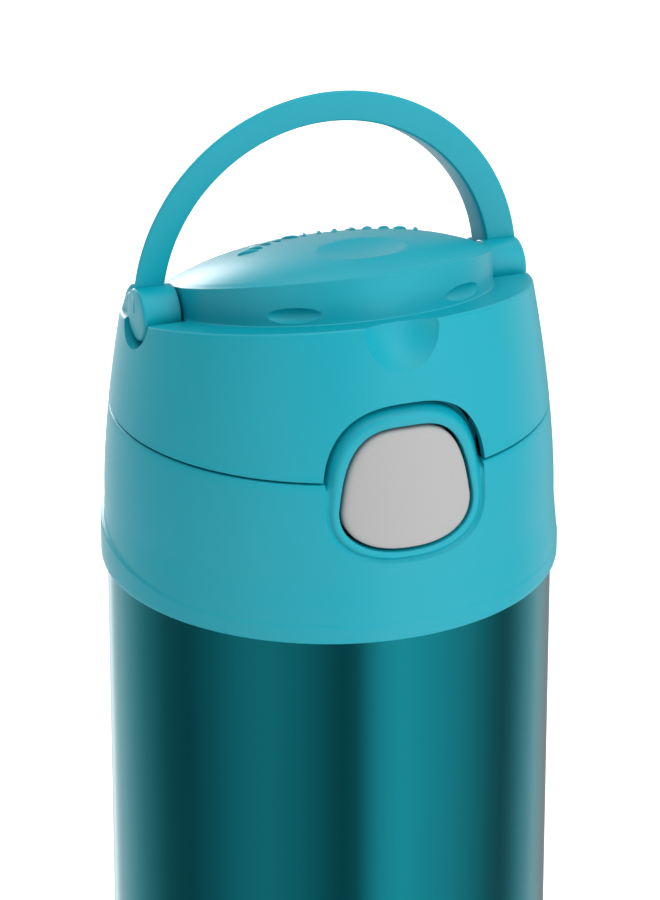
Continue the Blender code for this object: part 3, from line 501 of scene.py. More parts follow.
def surface(name, rgb, roughness, spread, grain, bump, tint=0.03, stretch=(1, 1, 1), **sockets):
    """A Principled surface with colour, roughness and relief that vary on Object coordinates.

    grain is the size of the relief in metres, spread how much the roughness varies,
    and tint how much the colour does.
    """
    found = bpy.data.materials.get(name)
    if found:
        return found
    material = bpy.data.materials.new(name)
    material.use_nodes = True
    tree = material.node_tree
    shader = tree.nodes["Principled BSDF"]
    for key, value in sockets.items():
        shader.inputs[key.replace("_", " ")].default_value = value
    place = add(tree, "ShaderNodeTexCoord").outputs["Object"]
    scaled = add(tree, "ShaderNodeMapping", {"Vector": place, "Scale": stretch}).outputs["Vector"]
    fine = add(tree, "ShaderNodeTexNoise",
               {"Vector": scaled, "Scale": 1 / grain, "Detail": 3.0, "Roughness": 0.55})
    broad = add(tree, "ShaderNodeTexNoise", {"Vector": place, "Scale": 45.0, "Detail": 2.0})
    low = [c * (1 - tint) for c in rgb] + [1.0]
    high = [min(1.0, c * (1 + tint)) for c in rgb] + [1.0]
    mix = add(tree, "ShaderNodeMix", {"Factor": broad.outputs["Fac"]}, data_type="RGBA")
    ends = [socket for socket in mix.inputs if socket.type == "RGBA"]
    ends[0].default_value, ends[1].default_value = low, high
    mixed = next(socket for socket in mix.outputs if socket.type == "RGBA")
    tree.links.new(mixed, shader.inputs["Base Color"])
    rough = add(tree, "ShaderNodeMapRange", {
        "Value": fine.outputs["Fac"], "From Min": 0.3, "From Max": 0.7,
        "To Min": roughness - spread, "To Max": roughness + spread,
    })
    tree.links.new(rough.outputs["Result"], shader.inputs["Roughness"])
    relief = add(tree, "ShaderNodeBump", {
        "Height": fine.outputs["Fac"], "Strength": 1.0, "Distance": bump,
    })
    tree.links.new(relief.outputs["Normal"], shader.inputs["Normal"])
    return material


def satin_polypropylene(colours):
    """Injection-moulded polypropylene from a spark-eroded mould: satin, with a fine even
    grain that spreads the highlights. The real grain is about 0.05 mm; it is drawn at
    0.3 mm so that it shows."""
    return surface("satin moulded polypropylene", colours.plastic, 0.36, 0.03, 0.3 * MM,
                   0.006 * MM, IOR=1.49)


def inner_polypropylene(colours):
    """The same plastic from a smoother mould, for the parts inside the lid."""
    return surface("smooth moulded polypropylene", colours.inner_plastic, 0.42, 0.04, 0.4 * MM,
                   0.006 * MM, IOR=1.49)


def satin_abs(colours):
    """Injection-moulded ABS with a matt spark-eroded face, for the button and its catch."""
    return surface("satin moulded ABS", colours.button, 0.42, 0.03, 0.3 * MM, 0.005 * MM,
                   tint=0.015, IOR=1.54)


def lacquered_steel(colours):
    """Drawn stainless steel under a clear tinted lacquer: the metal mirrors the room in
    teal, a little blurred, and faint turning marks run round it. The real marks are about
    0.1 mm apart; they are drawn at 0.5 mm so that they show."""
    return surface("teal lacquer over drawn steel", colours.lacquer, 0.13, 0.02, 0.5 * MM,
                   0.0006 * MM, tint=0.03, stretch=(0.06, 0.06, 1.0), Metallic=1.0)


def polished_steel(colours):
    """Electropolished stainless steel: bright, with a slight orange-peel waviness."""
    return surface("electropolished stainless steel", colours.steel, 0.24, 0.05, 1.2 * MM,
                   0.004 * MM, Metallic=1.0)


def spring_wire(colours):
    """Cold-drawn spring wire: dull grey metal with fine drawing marks."""
    return surface("drawn spring wire", colours.spring, 0.32, 0.06, 0.2 * MM, 0.002 * MM,
                   Metallic=1.0)


def food_silicone(colours):
    """Liquid-moulded silicone: matt, slightly see-through, soft at its edges."""
    return surface("moulded food silicone", colours.silicone, 0.5, 0.05, 0.6 * MM, 0.004 * MM,
                   tint=0.01, IOR=1.41, Subsurface_Weight=0.35, Subsurface_Scale=2 * MM)


def seal_silicone(colours):
    """Grey silicone ring, pressed in a matt mould."""
    return surface("moulded seal silicone", colours.gasket, 0.6, 0.05, 0.5 * MM, 0.005 * MM,
                   IOR=1.41)


def extruded_straw(colours):
    """Extruded polypropylene tube: smooth, with faint lines along its length."""
    return surface("extruded polypropylene", colours.straw, 0.28, 0.04, 0.4 * MM, 0.002 * MM,
                   tint=0.01, stretch=(1.0, 1.0, 0.05), IOR=1.49, Transmission_Weight=0.25)


# ---- Geometry node trees ------------------------------------------------------------------
def node_tree(name, inputs):
    """A geometry tree with named inputs, as (name, socket kind, default) triples."""
    tree = bpy.data.node_groups.new(name, "GeometryNodeTree")
    for label, kind, default in inputs:
        socket = tree.interface.new_socket(label, in_out="INPUT", socket_type=kind)
        if default is not None:
            socket.default_value = default
    tree.interface.new_socket("Geometry", in_out="OUTPUT", socket_type="NodeSocketGeometry")
    return tree, add(tree, "NodeGroupInput").outputs


def close_tree(tree, geometry, material):
    """Ends a tree with Realize Instances and Set Material."""
    real = add(tree, "GeometryNodeRealizeInstances", {"Geometry": geometry}).outputs["Geometry"]
    made = add(tree, "GeometryNodeSetMaterial", {"Geometry": real, "Material": material})
    add(tree, "NodeGroupOutput", {"Geometry": made.outputs["Geometry"]})


def run_tree(name, tree, values, mesh=None):
    """An object whose mesh is what a tree makes with these input values."""
    made = bpy.data.objects.new(name, mesh or bpy.data.meshes.new(name))
    bpy.context.scene.collection.objects.link(made)
    modifier = made.modifiers.new(name, "NODES")
    modifier.node_group = tree
    for item in tree.interface.items_tree:
        if item.in_out == "INPUT" and item.name in values:
            modifier[item.identifier] = values[item.name]
    settled(made)
    if not made.data.polygons:
        raise RuntimeError(f"{name} came out empty")
    face_out(made)
    return made


def revolve_tree():
    """Turns a section about the Z axis: the section is swept round a circle of Turning Radius."""
    tree, given = node_tree("revolve section", (
        ("Section", "NodeSocketGeometry", None),
        ("Turning Radius", "NodeSocketFloat", 0.03),
        ("Facets", "NodeSocketInt", FINE),
        ("Finish", "NodeSocketMaterial", None),
    ))
    section = add(tree, "GeometryNodeMeshToCurve", {"Mesh": given["Section"]}).outputs["Curve"]
    circle = add(tree, "GeometryNodeCurvePrimitiveCircle",
                 {"Resolution": given["Facets"], "Radius": given["Turning Radius"]})
    swept = add(tree, "GeometryNodeCurveToMesh",
                {"Curve": circle.outputs["Curve"], "Profile Curve": section})
    close_tree(tree, swept.outputs["Mesh"], given["Finish"])
    return tree


def thread_tree():
    """Winds a rounded ridge round the neck."""
    tree, given = node_tree("wind thread", (
        ("Radius", "NodeSocketFloat", 0.027),
        ("Pitch", "NodeSocketFloat", 0.0035),
        ("Turns", "NodeSocketFloat", 1.0),
        ("Ridge", "NodeSocketFloat", 0.0009),
        ("Start", "NodeSocketFloat", 0.0),
        ("Finish", "NodeSocketMaterial", None),
    ))
    rise = add(tree, "ShaderNodeMath", {0: given["Pitch"], 1: given["Turns"]},
               operation="MULTIPLY").outputs["Value"]
    spiral = add(tree, "GeometryNodeCurveSpiral", {
        "Resolution": 96, "Rotations": given["Turns"], "Start Radius": given["Radius"],
        "End Radius": given["Radius"], "Height": rise,
    })
    ridge = add(tree, "GeometryNodeCurvePrimitiveCircle",
                {"Resolution": 12, "Radius": given["Ridge"]})
    wound = add(tree, "GeometryNodeCurveToMesh", {
        "Curve": spiral.outputs["Curve"], "Profile Curve": ridge.outputs["Curve"],
        "Fill Caps": True,
    })
    lift = add(tree, "ShaderNodeCombineXYZ", {"Z": given["Start"]}).outputs["Vector"]
    placed = add(tree, "GeometryNodeTransform",
                 {"Geometry": wound.outputs["Mesh"], "Translation": lift})
    close_tree(tree, placed.outputs["Geometry"], given["Finish"])
    return tree


def rib_tree():
    """Lays rounded ribs along an arc and drops them onto the cover's top, square to it."""
    tree, given = node_tree("lay ribs", (
        ("Cover", "NodeSocketObject", None),
        ("Count", "NodeSocketInt", 13),
        ("Arc Radius", "NodeSocketFloat", 0.018),
        ("Arc Middle", "NodeSocketFloat", -0.0137),
        ("Start", "NodeSocketFloat", 0.6),
        ("Sweep", "NodeSocketFloat", 1.8),
        ("Above", "NodeSocketFloat", 0.25),
        ("Half Width", "NodeSocketFloat", 0.0004),
        ("Half Length", "NodeSocketFloat", 0.0016),
        ("Finish", "NodeSocketMaterial", None),
    ))
    path = add(tree, "GeometryNodeCurveArc", {
        "Resolution": 64, "Radius": given["Arc Radius"],
        "Start Angle": given["Start"], "Sweep Angle": given["Sweep"],
    }).outputs["Curve"]
    lift = add(tree, "ShaderNodeCombineXYZ",
               {"Y": given["Arc Middle"], "Z": given["Above"]}).outputs["Vector"]
    raised = add(tree, "GeometryNodeTransform", {"Geometry": path, "Translation": lift})
    points = add(tree, "GeometryNodeCurveToPoints",
                 {"Curve": raised.outputs["Geometry"], "Count": given["Count"]})
    cover = add(tree, "GeometryNodeObjectInfo", {"Object": given["Cover"]})
    down = add(tree, "GeometryNodeRaycast", {
        "Target Geometry": cover.outputs["Geometry"], "Ray Direction": (0, 0, -1),
        "Ray Length": 1.0,
    })
    landed = add(tree, "GeometryNodeSetPosition", {
        "Geometry": points.outputs["Points"], "Position": down.outputs["Hit Position"],
    })
    stood = add(tree, "FunctionNodeAlignRotationToVector", {
        "Rotation": points.outputs["Rotation"], "Vector": down.outputs["Hit Normal"],
    }, axis="Z")
    rib = add(tree, "GeometryNodeMeshUVSphere", {"Segments": 20, "Rings": 10, "Radius": 1.0})
    size = add(tree, "ShaderNodeCombineXYZ", {
        "X": given["Half Length"], "Y": given["Half Width"], "Z": given["Half Width"],
    }).outputs["Vector"]
    laid = add(tree, "GeometryNodeInstanceOnPoints", {
        "Points": landed.outputs["Geometry"], "Instance": rib.outputs["Mesh"],
        "Rotation": stood.outputs["Rotation"], "Scale": size,
    })
    close_tree(tree, laid.outputs["Instances"], given["Finish"])
    return tree


# ---- Bottle ---------------------------------------------------------------------------------
def steel_section(shape):
    """Closed section of the outer steel wall, as (radius, height)."""
    body = shape.body
    shoulder = shape.foot + GAP
    foot, turn = body.foot_round, body.shoulder_round
    hem = body.radius - foot - 1.4 * MM
    inner = turn - body.sheet
    chain = [(hem, 0.0)]
    chain += arc(body.radius - foot, foot, foot, -90, 0, 10)
    chain += arc(body.radius - turn, shoulder, turn, 0, 90, 10)
    chain += arc(body.neck_radius + 0.5 * MM, shoulder + turn + 0.5 * MM, 0.5 * MM, -90, -180, 4)
    top = shape.rim - body.sheet - GAP
    chain += [(body.neck_radius, top), (body.neck_radius - body.sheet, top)]
    chain += [(body.neck_radius - body.sheet, shoulder + inner)]
    chain += arc(body.radius - turn, shoulder, inner, 90, 0, 6)
    chain += arc(body.radius - foot, foot, foot - body.sheet, 0, -90, 6)
    chain += [(hem, body.sheet)]
    return chain


class BOTTLE_OT_steel_body(Operator):
    """Draws the lacquered steel body and the thread round its neck"""
    bl_idname = "bottle.steel_body"
    bl_label = "Steel body"

    def execute(self, context):
        shape = Shape(context.scene)
        material = lacquered_steel(context.scene.bottle_colours)
        turning = 0.03
        section = steel_section(shape)
        mesh = bpy.data.meshes.new("steel_section")
        count = len(section)
        mesh.from_pydata([(r - turning, -z, 0) for r, z in section],
                         [(i, (i + 1) % count) for i in range(count)], [])
        body = run_tree("steel_body", revolve_tree(), {
            "Turning Radius": turning, "Facets": FINE, "Finish": material,
        }, mesh)
        complete(body, "bottle", "lacquered_steel", material, "outer_shell")
        sizes = shape.body
        thread = run_tree("neck_thread", thread_tree(), {
            "Radius": sizes.neck_radius - 0.1 * MM, "Pitch": sizes.thread_pitch, "Turns": 1.0,
            "Ridge": sizes.thread_depth, "Start": shape.foot + sizes.thread_start,
            "Finish": material,
        })
        complete(thread, "bottle", "lacquered_steel", material)
        return {"FINISHED"}


# ---- Lid --------------------------------------------------------------------------------------
def sweep_share(angle):
    """0 round the front of the lid's lower band, rising to 1 at its back."""
    turn = abs((angle + math.pi) % (2 * math.pi) - math.pi)
    return smoothstep((math.degrees(turn) - 50) / 70)


def band_top(shape, angle):
    lid = shape.lid
    return lid.band_front + (lid.band_back - lid.band_front) * sweep_share(angle)


def band_edge(shape, inward, upward):
    """A point of the rounded step between the band and the lid's side."""
    def point(angle):
        flare = (shape.lid.band_step - 0.1 * MM) * (1 - sweep_share(angle))
        step = shape.band - shape.side - flare
        return shape.band - step * inward, shape.foot + band_top(shape, angle) + upward * MM
    return point


def band_flare(shape, part):
    """A point of the lid's side above the band, which flares out towards the front."""
    def point(angle):
        flare = (shape.lid.band_step - 0.1 * MM) * (1 - sweep_share(angle))
        low = band_top(shape, angle) + 0.6 * MM
        height = low + (shape.lid.taper_start - low) * part
        return shape.side + flare * (1 - smoothstep(part)), shape.foot + height
    return point


def side_points(shape, low, high, steps, inset=0.0):
    points = []
    for i in range(steps + 1):
        height = low + (high - low) * i / steps
        points.append((shape.side_radius(height) - inset, shape.foot + height))
    return points


def lid_skin(shape):
    """Outer skin of the lid up to the seam, with the swept band at its foot."""
    foot, lid = shape.foot, shape.lid
    top = lid.seam - GAP / 2
    chain = [
        (shape.body.radius + GAP, foot + 0.2 * MM), (shape.body.radius + 0.4 * MM, foot),
        (shape.band - 0.3 * MM, foot), (shape.band - 0.1 * MM, foot + 0.15 * MM),
        (shape.band - 0.02 * MM, foot + 0.45 * MM), (shape.band, foot + 1.0 * MM),
    ]
    for inward, upward in ((0, -0.4), (0.06, -0.15), (0.25, 0.0), (0.6, 0.14), (0.9, 0.32),
                           (1, 0.6)):
        chain.append(band_edge(shape, inward, upward))
    for part in (0.15, 0.3, 0.45, 0.6, 0.75, 0.9):
        chain.append(band_flare(shape, part))
    chain += side_points(shape, lid.taper_start, top - 0.5 * MM, 12)
    radius = shape.side_radius(top)
    chain += arc(radius - 0.4 * MM, foot + top - 0.4 * MM, 0.4 * MM, 10, 90, 5)
    chain += side_points(shape, top, lid.taper_start, 4, lid.wall)
    inner = shape.side - lid.wall
    chain += [(inner, foot + 4.2 * MM), (shape.body.radius - 0.1 * MM, foot + 2.0 * MM)]
    return turned("lid_case", chain, FINE)


def envelope(shape, inset, low, high):
    """A solid as wide as the lid's side between two heights above the lid's bottom edge."""
    chain = [(0, shape.foot + low)] + side_points(shape, low, high, 24, inset)
    return turned("envelope", chain + [(0, shape.foot + high)], FINE, offset=0.5)


def hinge_ears(shape):
    """The barrel of the lid's hinge, flush with its side, and the slot that splits it."""
    y, z = shape.hinge[1], shape.hinge[2]
    half, knuckle, barrel = shape.knuckles.half_width, shape.knuckles.knuckle, shape.knuckles.barrel
    lowest = shape.seam - 6 * MM
    outline = [(y - barrel, lowest)]
    outline += arc(y, z, barrel, 180, 0, 32)
    outline += [(y + barrel + 2 * MM, z - 1.1 * MM), (y + barrel + 2 * MM, lowest)]
    ears = prism("ears", outline, "X", -half, half)
    trim(ears, envelope(shape, 0.06 * MM, 12 * MM, 40 * MM))
    room = barrel + GAP
    slot = arc(y, z, room, -180, -90, 16)
    slot += [(y + room + 3 * MM, z - room), (y + room + 3 * MM, z + 12 * MM),
             (y - room, z + 12 * MM)]
    return ears, prism("slot", slot, "X", -knuckle - GAP, knuckle + GAP)


class BOTTLE_OT_lid_case(Operator):
    """Draws the lid's outer skin with its swept band and hinge ears"""
    bl_idname = "bottle.lid_case"
    bl_label = "Lid case"

    def execute(self, context):
        shape = Shape(context.scene)
        case = lid_skin(shape)
        ears, slot = hinge_ears(shape)
        join(case, ears)
        cut(case, slot)
        y, z = shape.hinge[1], shape.hinge[2]
        hinge = shape.knuckles
        reach = hinge.pin_reach
        cut(case, rod("pin_hole", (-reach, y, z), (reach, y, z), hinge.pin_hole, SMALL))
        cut(case, rod("spring_bore", (0, y, z), (hinge.spring_reach, y, z),
                      hinge.spring_bore, SMALL))
        front = -shape.band - 4 * MM
        cut(case, prism("surround_hole", surround_outline(shape, -0.05 * MM), "Y",
                        front, -shape.body.radius * 0.7))
        complete(case, "lid", "teal_plastic", satin_polypropylene(context.scene.bottle_colours),
                 "lid_shell")
        return {"FINISHED"}


# ---- Button and its surround ---------------------------------------------------------------
SURROUND_SECTION = (
    # share of the way in to the button, then depths in mm below the lid's side: beside the
    # lid (lower half) and beside the cover (upper half)
    (0.00, 0.04, 2.30),
    (0.06, 0.14, 2.30),
    (0.15, 0.38, 2.25),
    (0.21, 0.50, 1.20),
    (0.26, 0.53, 1.00),
    (0.33, 0.50, 0.78),
    (0.42, 0.36, 0.46),
    (0.50, 0.24, 0.24),
    (0.58, 0.17, 0.17),
    (0.68, 0.20, 0.20),
    (0.82, 0.30, 0.30),
    (0.92, 0.38, 0.38),
    (0.97, 0.48, 0.48),
    (1.00, 0.68, 0.68),
)


def surround_ring(shape):
    """The dished ring round the button, on the lid's curved front."""
    outer = surround_outline(shape, -0.02 * MM)
    inner = button_outline(shape, shape.button.clearance)
    back = 2.6 * MM
    sections = [(0.0, back, back)] + [(p, a * MM, b * MM) for p, a, b in SURROUND_SECTION]
    sections += [(1.0, back, back)]
    rings = []
    for part, below, beside in sections:
        ring = []
        for (xo, zo), (xi, zi) in zip(outer, inner):
            upper = smoothstep((zo - shape.seam + 1.5 * MM) / (2.2 * MM))
            depth = below + (beside - below) * upper
            ring.append(shape.on_side(xo + (xi - xo) * part, zo + (zi - zo) * part, depth))
        rings.append(ring)
    return rings_object("button_surround", rings, closed=True)


def button_cap(shape):
    """The push button: a softly crowned cap with a rounded edge and a hollow back."""
    b = shape.button
    edge = button_outline(shape)
    middle = Vector((0.0, shape.foot + b.middle + 2.0 * MM))
    deep = b.depth / MM
    rings = []
    for inset, sink in ((1.3, deep), (0.0, deep), (0.0, 0.95), (0.06, 0.66),
                        (0.22, 0.42), (0.48, 0.29), (0.9, 0.24)):
        rings.append([shape.on_side(x * (1 - inset * MM / b.half_width),
                                    middle.y + (z - middle.y) * (1 - inset * MM / b.up),
                                    sink * MM) for x, z in edge])
    for part in (0.8, 0.6, 0.4, 0.2):
        rings.append([shape.on_side(x * part, middle.y + (z - middle.y) * part,
                                    (0.24 - 0.05 * (1 - part)) * MM) for x, z in edge])
    rings.append([shape.on_side(0.0, middle.y, 0.19 * MM)])
    under = []
    for part in (0.85, 0.5):
        under.append([shape.on_side(x * part, middle.y + (z - middle.y) * part, 2.0 * MM)
                      for x, z in edge])
    rings = [[shape.on_side(0.0, middle.y, 2.0 * MM)]] + under[::-1] + rings
    return rings_object("button_cap", rings, closed=False)


class BOTTLE_OT_button(Operator):
    """Draws the push button and the dished ring round it"""
    bl_idname = "bottle.button"
    bl_label = "Button and surround"

    def execute(self, context):
        shape = Shape(context.scene)
        colours = context.scene.bottle_colours
        ring = surround_ring(shape)
        complete(ring, "lid", "teal_plastic", satin_polypropylene(colours), "lid_shell")
        cap = button_cap(shape)
        face_z = shape.foot + shape.button.middle
        face = shape.side_radius(shape.button.middle)
        join(cap, rod("stem", (0, -face + 1.2 * MM, face_z), (0, -face + 4.4 * MM, face_z),
                      1.5 * MM, SMALL))
        complete(cap, "button", "grey_plastic", satin_abs(colours), "push_button")
        dress(satin_abs(colours), "latch_hook")
        return {"FINISHED"}


# ---- Cover ------------------------------------------------------------------------------------
def cover_solid(shape):
    """The cover's closed skin: crowned disc, leaning wall, ledge, tapered side and inside."""
    lid, foot = shape.lid, shape.foot
    radius = shape.drum_radius
    low = lid.seam + GAP / 2

    def dome(part, sink=0.0, across=radius):
        return lambda angle: shape.dome_point(angle, across, part, sink)

    def wall(back, sink):
        def point(angle):
            r = shape.drum_top(angle, radius) - back * MM
            return r, shape.drum(-r * math.cos(angle)) - sink * MM
        return point

    def lean(part):
        def point(angle):
            top = shape.drum_top(angle, radius)
            high = shape.drum(-top * math.cos(angle)) - 0.35 * MM
            base = shape.ledge(-radius * math.cos(angle)) + 0.4 * MM
            return top + (radius - top) * part, high + (base - high) * part
        return point

    def shelf(out, above):
        def point(angle):
            r = radius + out * MM
            return r, shape.ledge(-r * math.cos(angle)) + above * MM
        return point

    def rim(back, sink):
        def point(angle):
            height = shape.rim_height(angle) - sink * MM
            r = shape.side_radius(height) - back * MM
            return r, foot + height
        return point

    def side(part):
        def point(angle):
            top = shape.rim_height(angle) - 0.55 * MM
            height = low + 0.45 * MM + (top - low - 0.45 * MM) * part
            return shape.side_radius(height), foot + height
        return point

    def shelf_edge(angle):
        r = shape.side_radius(shape.rim_height(angle)) - 0.55 * MM
        return r, shape.ledge(-r * math.cos(angle))

    def ceiling(angle):
        return shape.rim_height(angle) - 6.0 * MM

    def inside(part):
        def point(angle):
            height = low + (ceiling(angle) - low) * part
            return shape.side_radius(height) - lid.wall, foot + height
        return point

    well = 21.4 * MM
    chain = [(0, shape.drum(0) + lid.dome_rise)]
    chain += [dome(p) for p in (0.1, 0.2, 0.3, 0.4, 0.5, 0.58, 0.66, 0.73, 0.79, 0.84, 0.88,
                                0.92, 0.95, 0.97)]
    chain += [wall(0.28, -0.06), wall(0.1, 0.0), wall(0.0, 0.12)]
    chain += [lean(p) for p in (0.0, 0.2, 0.4, 0.6, 0.8, 1.0)]
    chain += [shelf(0.06, 0.18), shelf(0.2, 0.05), shelf(0.45, 0.0), shelf_edge]
    chain += [rim(0.3, 0.02), rim(0.12, 0.12), rim(0.02, 0.32)]
    chain += [side(p / 14) for p in range(14, -1, -1)]
    bottom = shape.side_radius(low)
    chain += arc(bottom - 0.3 * MM, foot + low + 0.3 * MM, 0.3 * MM, 0, -90, 4)
    chain += [inside(p / 4) for p in range(5)]
    chain.append(lambda angle: (well, foot + ceiling(angle) + 1.2 * MM))
    drop = lid.wall + 0.1 * MM
    inner = radius - lid.wall

    def roof(part):
        def point(angle):
            spread = well * part / shape.drum_top(angle, inner)
            return shape.dome_point(angle, inner, spread, drop)
        return point

    chain += [roof(p) for p in (1.0, 0.85, 0.65, 0.4, 0.2)]
    chain.append((0, shape.drum(0) + lid.dome_rise - drop))
    return turned("flip_cover", chain, FINE)


def thumb_dimple(shape):
    """Ellipsoid that presses the shallow oval dimple into the crown."""
    lid = shape.lid
    y = -13.7 * MM
    part = -y / shape.drum_top(0.0, shape.drum_radius)
    height = shape.dome_point(0.0, shape.drum_radius, part, 0.0)[1]
    deep = 5.0 * MM
    above = deep - lid.dimple_depth
    spread = math.sqrt(1 - (above / deep) ** 2)
    tilt = Matrix.Rotation(-0.09, 3, "X")
    centre = Vector((0, y, height)) + tilt @ Vector((0, 0, above))
    axes = (lid.dimple_half_width / spread, lid.dimple_half_length / spread, deep)
    return ellipsoid("dimple", centre, axes, tilt)


def wall_dent(shape, side):
    """Ellipsoid that presses a lens-shaped dent low in the disc's wall."""
    angle = math.radians(33) * side
    out = Vector((math.sin(angle), -math.cos(angle), 0))
    reach = shape.drum_radius + 1.0 * MM
    height = shape.ledge(out.y * shape.drum_radius) + 1.75 * MM
    tilt = Matrix.Rotation(angle, 3, "Z") @ Matrix.Rotation(
        shape.lid.ledge_slope * math.sin(angle), 3, "Y")
    return ellipsoid("dent", out * reach + Vector((0, 0, height)),
                     (6.4 * MM, 2.0 * MM, 1.45 * MM), tilt, SMALL)


def rim_scoop(shape):
    """Ball that hollows the thumb scoop in the cover's front rim."""
    lid = shape.lid
    radius = (lid.scoop_radius ** 2 + lid.scoop_depth ** 2) / (2 * lid.scoop_depth)
    height = shape.rim_height(0.0)
    middle = shape.side_radius(height) + radius - lid.scoop_depth
    centre = Vector((0, -middle, shape.foot + height + 0.6 * MM))
    return ellipsoid("scoop", centre, (radius,) * 3, None, 128)


def saddles_and_stops(shape, cover):
    """Notches for the handle's bosses, their stud holes, and the stops behind them."""
    handle, pivot = shape.handle, shape.pivot
    stop = pivot + 2.0 * MM
    front = handle.setback + handle.depth + 0.4 * MM
    back = front + 5.2 * MM
    for side in (-1, 1):
        ear = prism("stop", [
            (front, shape.ledge(front) - 0.8 * MM), (front, stop),
            (front + 1.0 * MM, stop + 0.2 * MM),
            (front + 2.6 * MM, stop - 1.2 * MM), (back, shape.ledge(back) + 0.2 * MM),
            (back, shape.ledge(back) - 0.8 * MM),
        ], "X", side * 25.2 * MM, side * 29.2 * MM)
        join(cover, rounded(ear, 0.35 * MM))
        cut(cover, rod("saddle", (side * 24.4 * MM, 0, pivot), (side * 36 * MM, 0, pivot),
                       handle.boss_radius + 1.0 * MM, MEDIUM))
        cut(cover, rod("stud_hole", (side * (handle.stud_start - GAP), 0, pivot),
                       (side * 26 * MM, 0, pivot), handle.stud_radius + GAP, SMALL))


def cover_hinge(shape, cover):
    """The window for the lid's ears and the cover's own barrel between them."""
    y, z = shape.hinge[1], shape.hinge[2]
    knuckle, barrel = shape.knuckles.knuckle, shape.knuckles.barrel
    window = shape.knuckles.window
    behind, above = shape.band + 4 * MM, z + 10 * MM
    opening = block("window", (-window, y - 7 * MM, z - 8 * MM),
                    (window, shape.band + 2 * MM, z + barrel + 0.6 * MM))
    bulk = block("bulk", (-knuckle - 1 * MM, y - 6 * MM, z - 6 * MM),
                 (knuckle + 1 * MM, y + 6 * MM, z + 8 * MM))
    trim(bulk, envelope(shape, 0.06 * MM, 12 * MM, 40 * MM))
    join(cover, bulk)
    web = arc(y, z, barrel, 115, 360, 48)
    outline = [(web[0][0], above)] + web + [(behind, z), (behind, above)]
    cut(opening, prism("barrel", outline, "X", -knuckle, knuckle))
    cut(cover, opening)
    reach = knuckle + GAP
    cut(cover, rod("pin_hole", (-reach, y, z), (reach, y, z), shape.knuckles.pin_hole, SMALL))


def keeper(shape):
    """Tab behind the arch's top, with a lip for the catch's nose."""
    front = shape.side_radius(36.1 * MM) - shape.lid.wall - 0.7 * MM
    back, lip = front - 1.3 * MM, front - 2.1 * MM
    low = shape.foot + 33.4 * MM
    return prism("keeper", [
        (-front, low), (-lip, low), (-lip, low + 1.1 * MM), (-back, low + 1.3 * MM),
        (-back, low + 8 * MM), (-front, low + 8 * MM),
    ], "X", -4.5 * MM, 4.5 * MM)


class BOTTLE_OT_cover(Operator):
    """Draws the flip cover with its ledge, crowned disc, dimple, scoop and pivot notches"""
    bl_idname = "bottle.cover"
    bl_label = "Flip cover"

    def execute(self, context):
        shape = Shape(context.scene)
        material = satin_polypropylene(context.scene.bottle_colours)
        cover = cover_solid(shape)
        saddles_and_stops(shape, cover)
        cut(cover, prism("arch", surround_outline(shape, GAP), "Y", -shape.band, -24 * MM))
        join(cover, keeper(shape))
        cover_hinge(shape, cover)
        cut(cover, rim_scoop(shape))
        cut(cover, thumb_dimple(shape))
        for side in (-1, 1):
            cut(cover, wall_dent(shape, side))
        complete(cover, "cover", "teal_plastic", material, "cover_shell")
        ribs = run_tree("grip_ribs", rib_tree(), {
            "Cover": cover, "Count": shape.lid.rib_count, "Arc Radius": 18.2 * MM,
            "Arc Middle": -13.7 * MM, "Start": math.radians(43), "Sweep": math.radians(94),
            "Above": HANDLE_TOP + 10 * MM, "Half Width": 0.45 * MM, "Half Length": 1.7 * MM,
            "Finish": material,
        })
        complete(ribs, "cover", "teal_plastic", material)
        return {"FINISHED"}


# ---- Handle -----------------------------------------------------------------------------------
def handle_section(shape, angle):
    """The handle's section at an angle round its arch, as (radius, y) points.

    The front face is flat. Behind it both sides lean in: the outer one by the lean, the
    inner one until the arch only just clears the cover's disc as it swings past.
    """
    handle = shape.handle
    outer, inner = handle.radius, handle.radius - handle.thickness
    front, back = handle.setback, handle.setback + handle.depth
    tuck = (0.65 + 0.2 * math.sin(2 * min(angle, math.pi - angle)) ** 2) * MM
    rear, under = outer - handle.lean, inner - tuck
    points = arc(outer - 0.3 * MM, front + 0.3 * MM, 0.3 * MM, -90, 20, 5)
    points += arc(rear - 1.0 * MM, back - 1.0 * MM, 1.0 * MM, 20, 90, 6)
    points += arc(under + 0.6 * MM, back - 0.6 * MM, 0.6 * MM, 90, 190, 7)
    points += [(inner - 0.15 * MM, front + 1.0 * MM), (inner - 0.02 * MM, front + 0.45 * MM),
               (inner + 0.1 * MM, front + 0.15 * MM), (inner + 0.3 * MM, front)]
    return points


def handle_arch(shape):
    steps = 144
    points, faces = [], []
    count = 0
    for i in range(steps + 1):
        angle = math.pi * i / steps
        section = handle_section(shape, angle)
        count = len(section)
        for radius, y in section:
            points.append(Vector((radius * math.cos(angle), y,
                                  shape.pivot + radius * math.sin(angle))))
    for i in range(steps):
        for k in range(count):
            a, b = i * count + k, i * count + (k + 1) % count
            faces.append([a, b, b + count, a + count])
    faces += [list(range(count)), list(range(steps * count, (steps + 1) * count))]
    return new_object("handle_arch", points, faces)


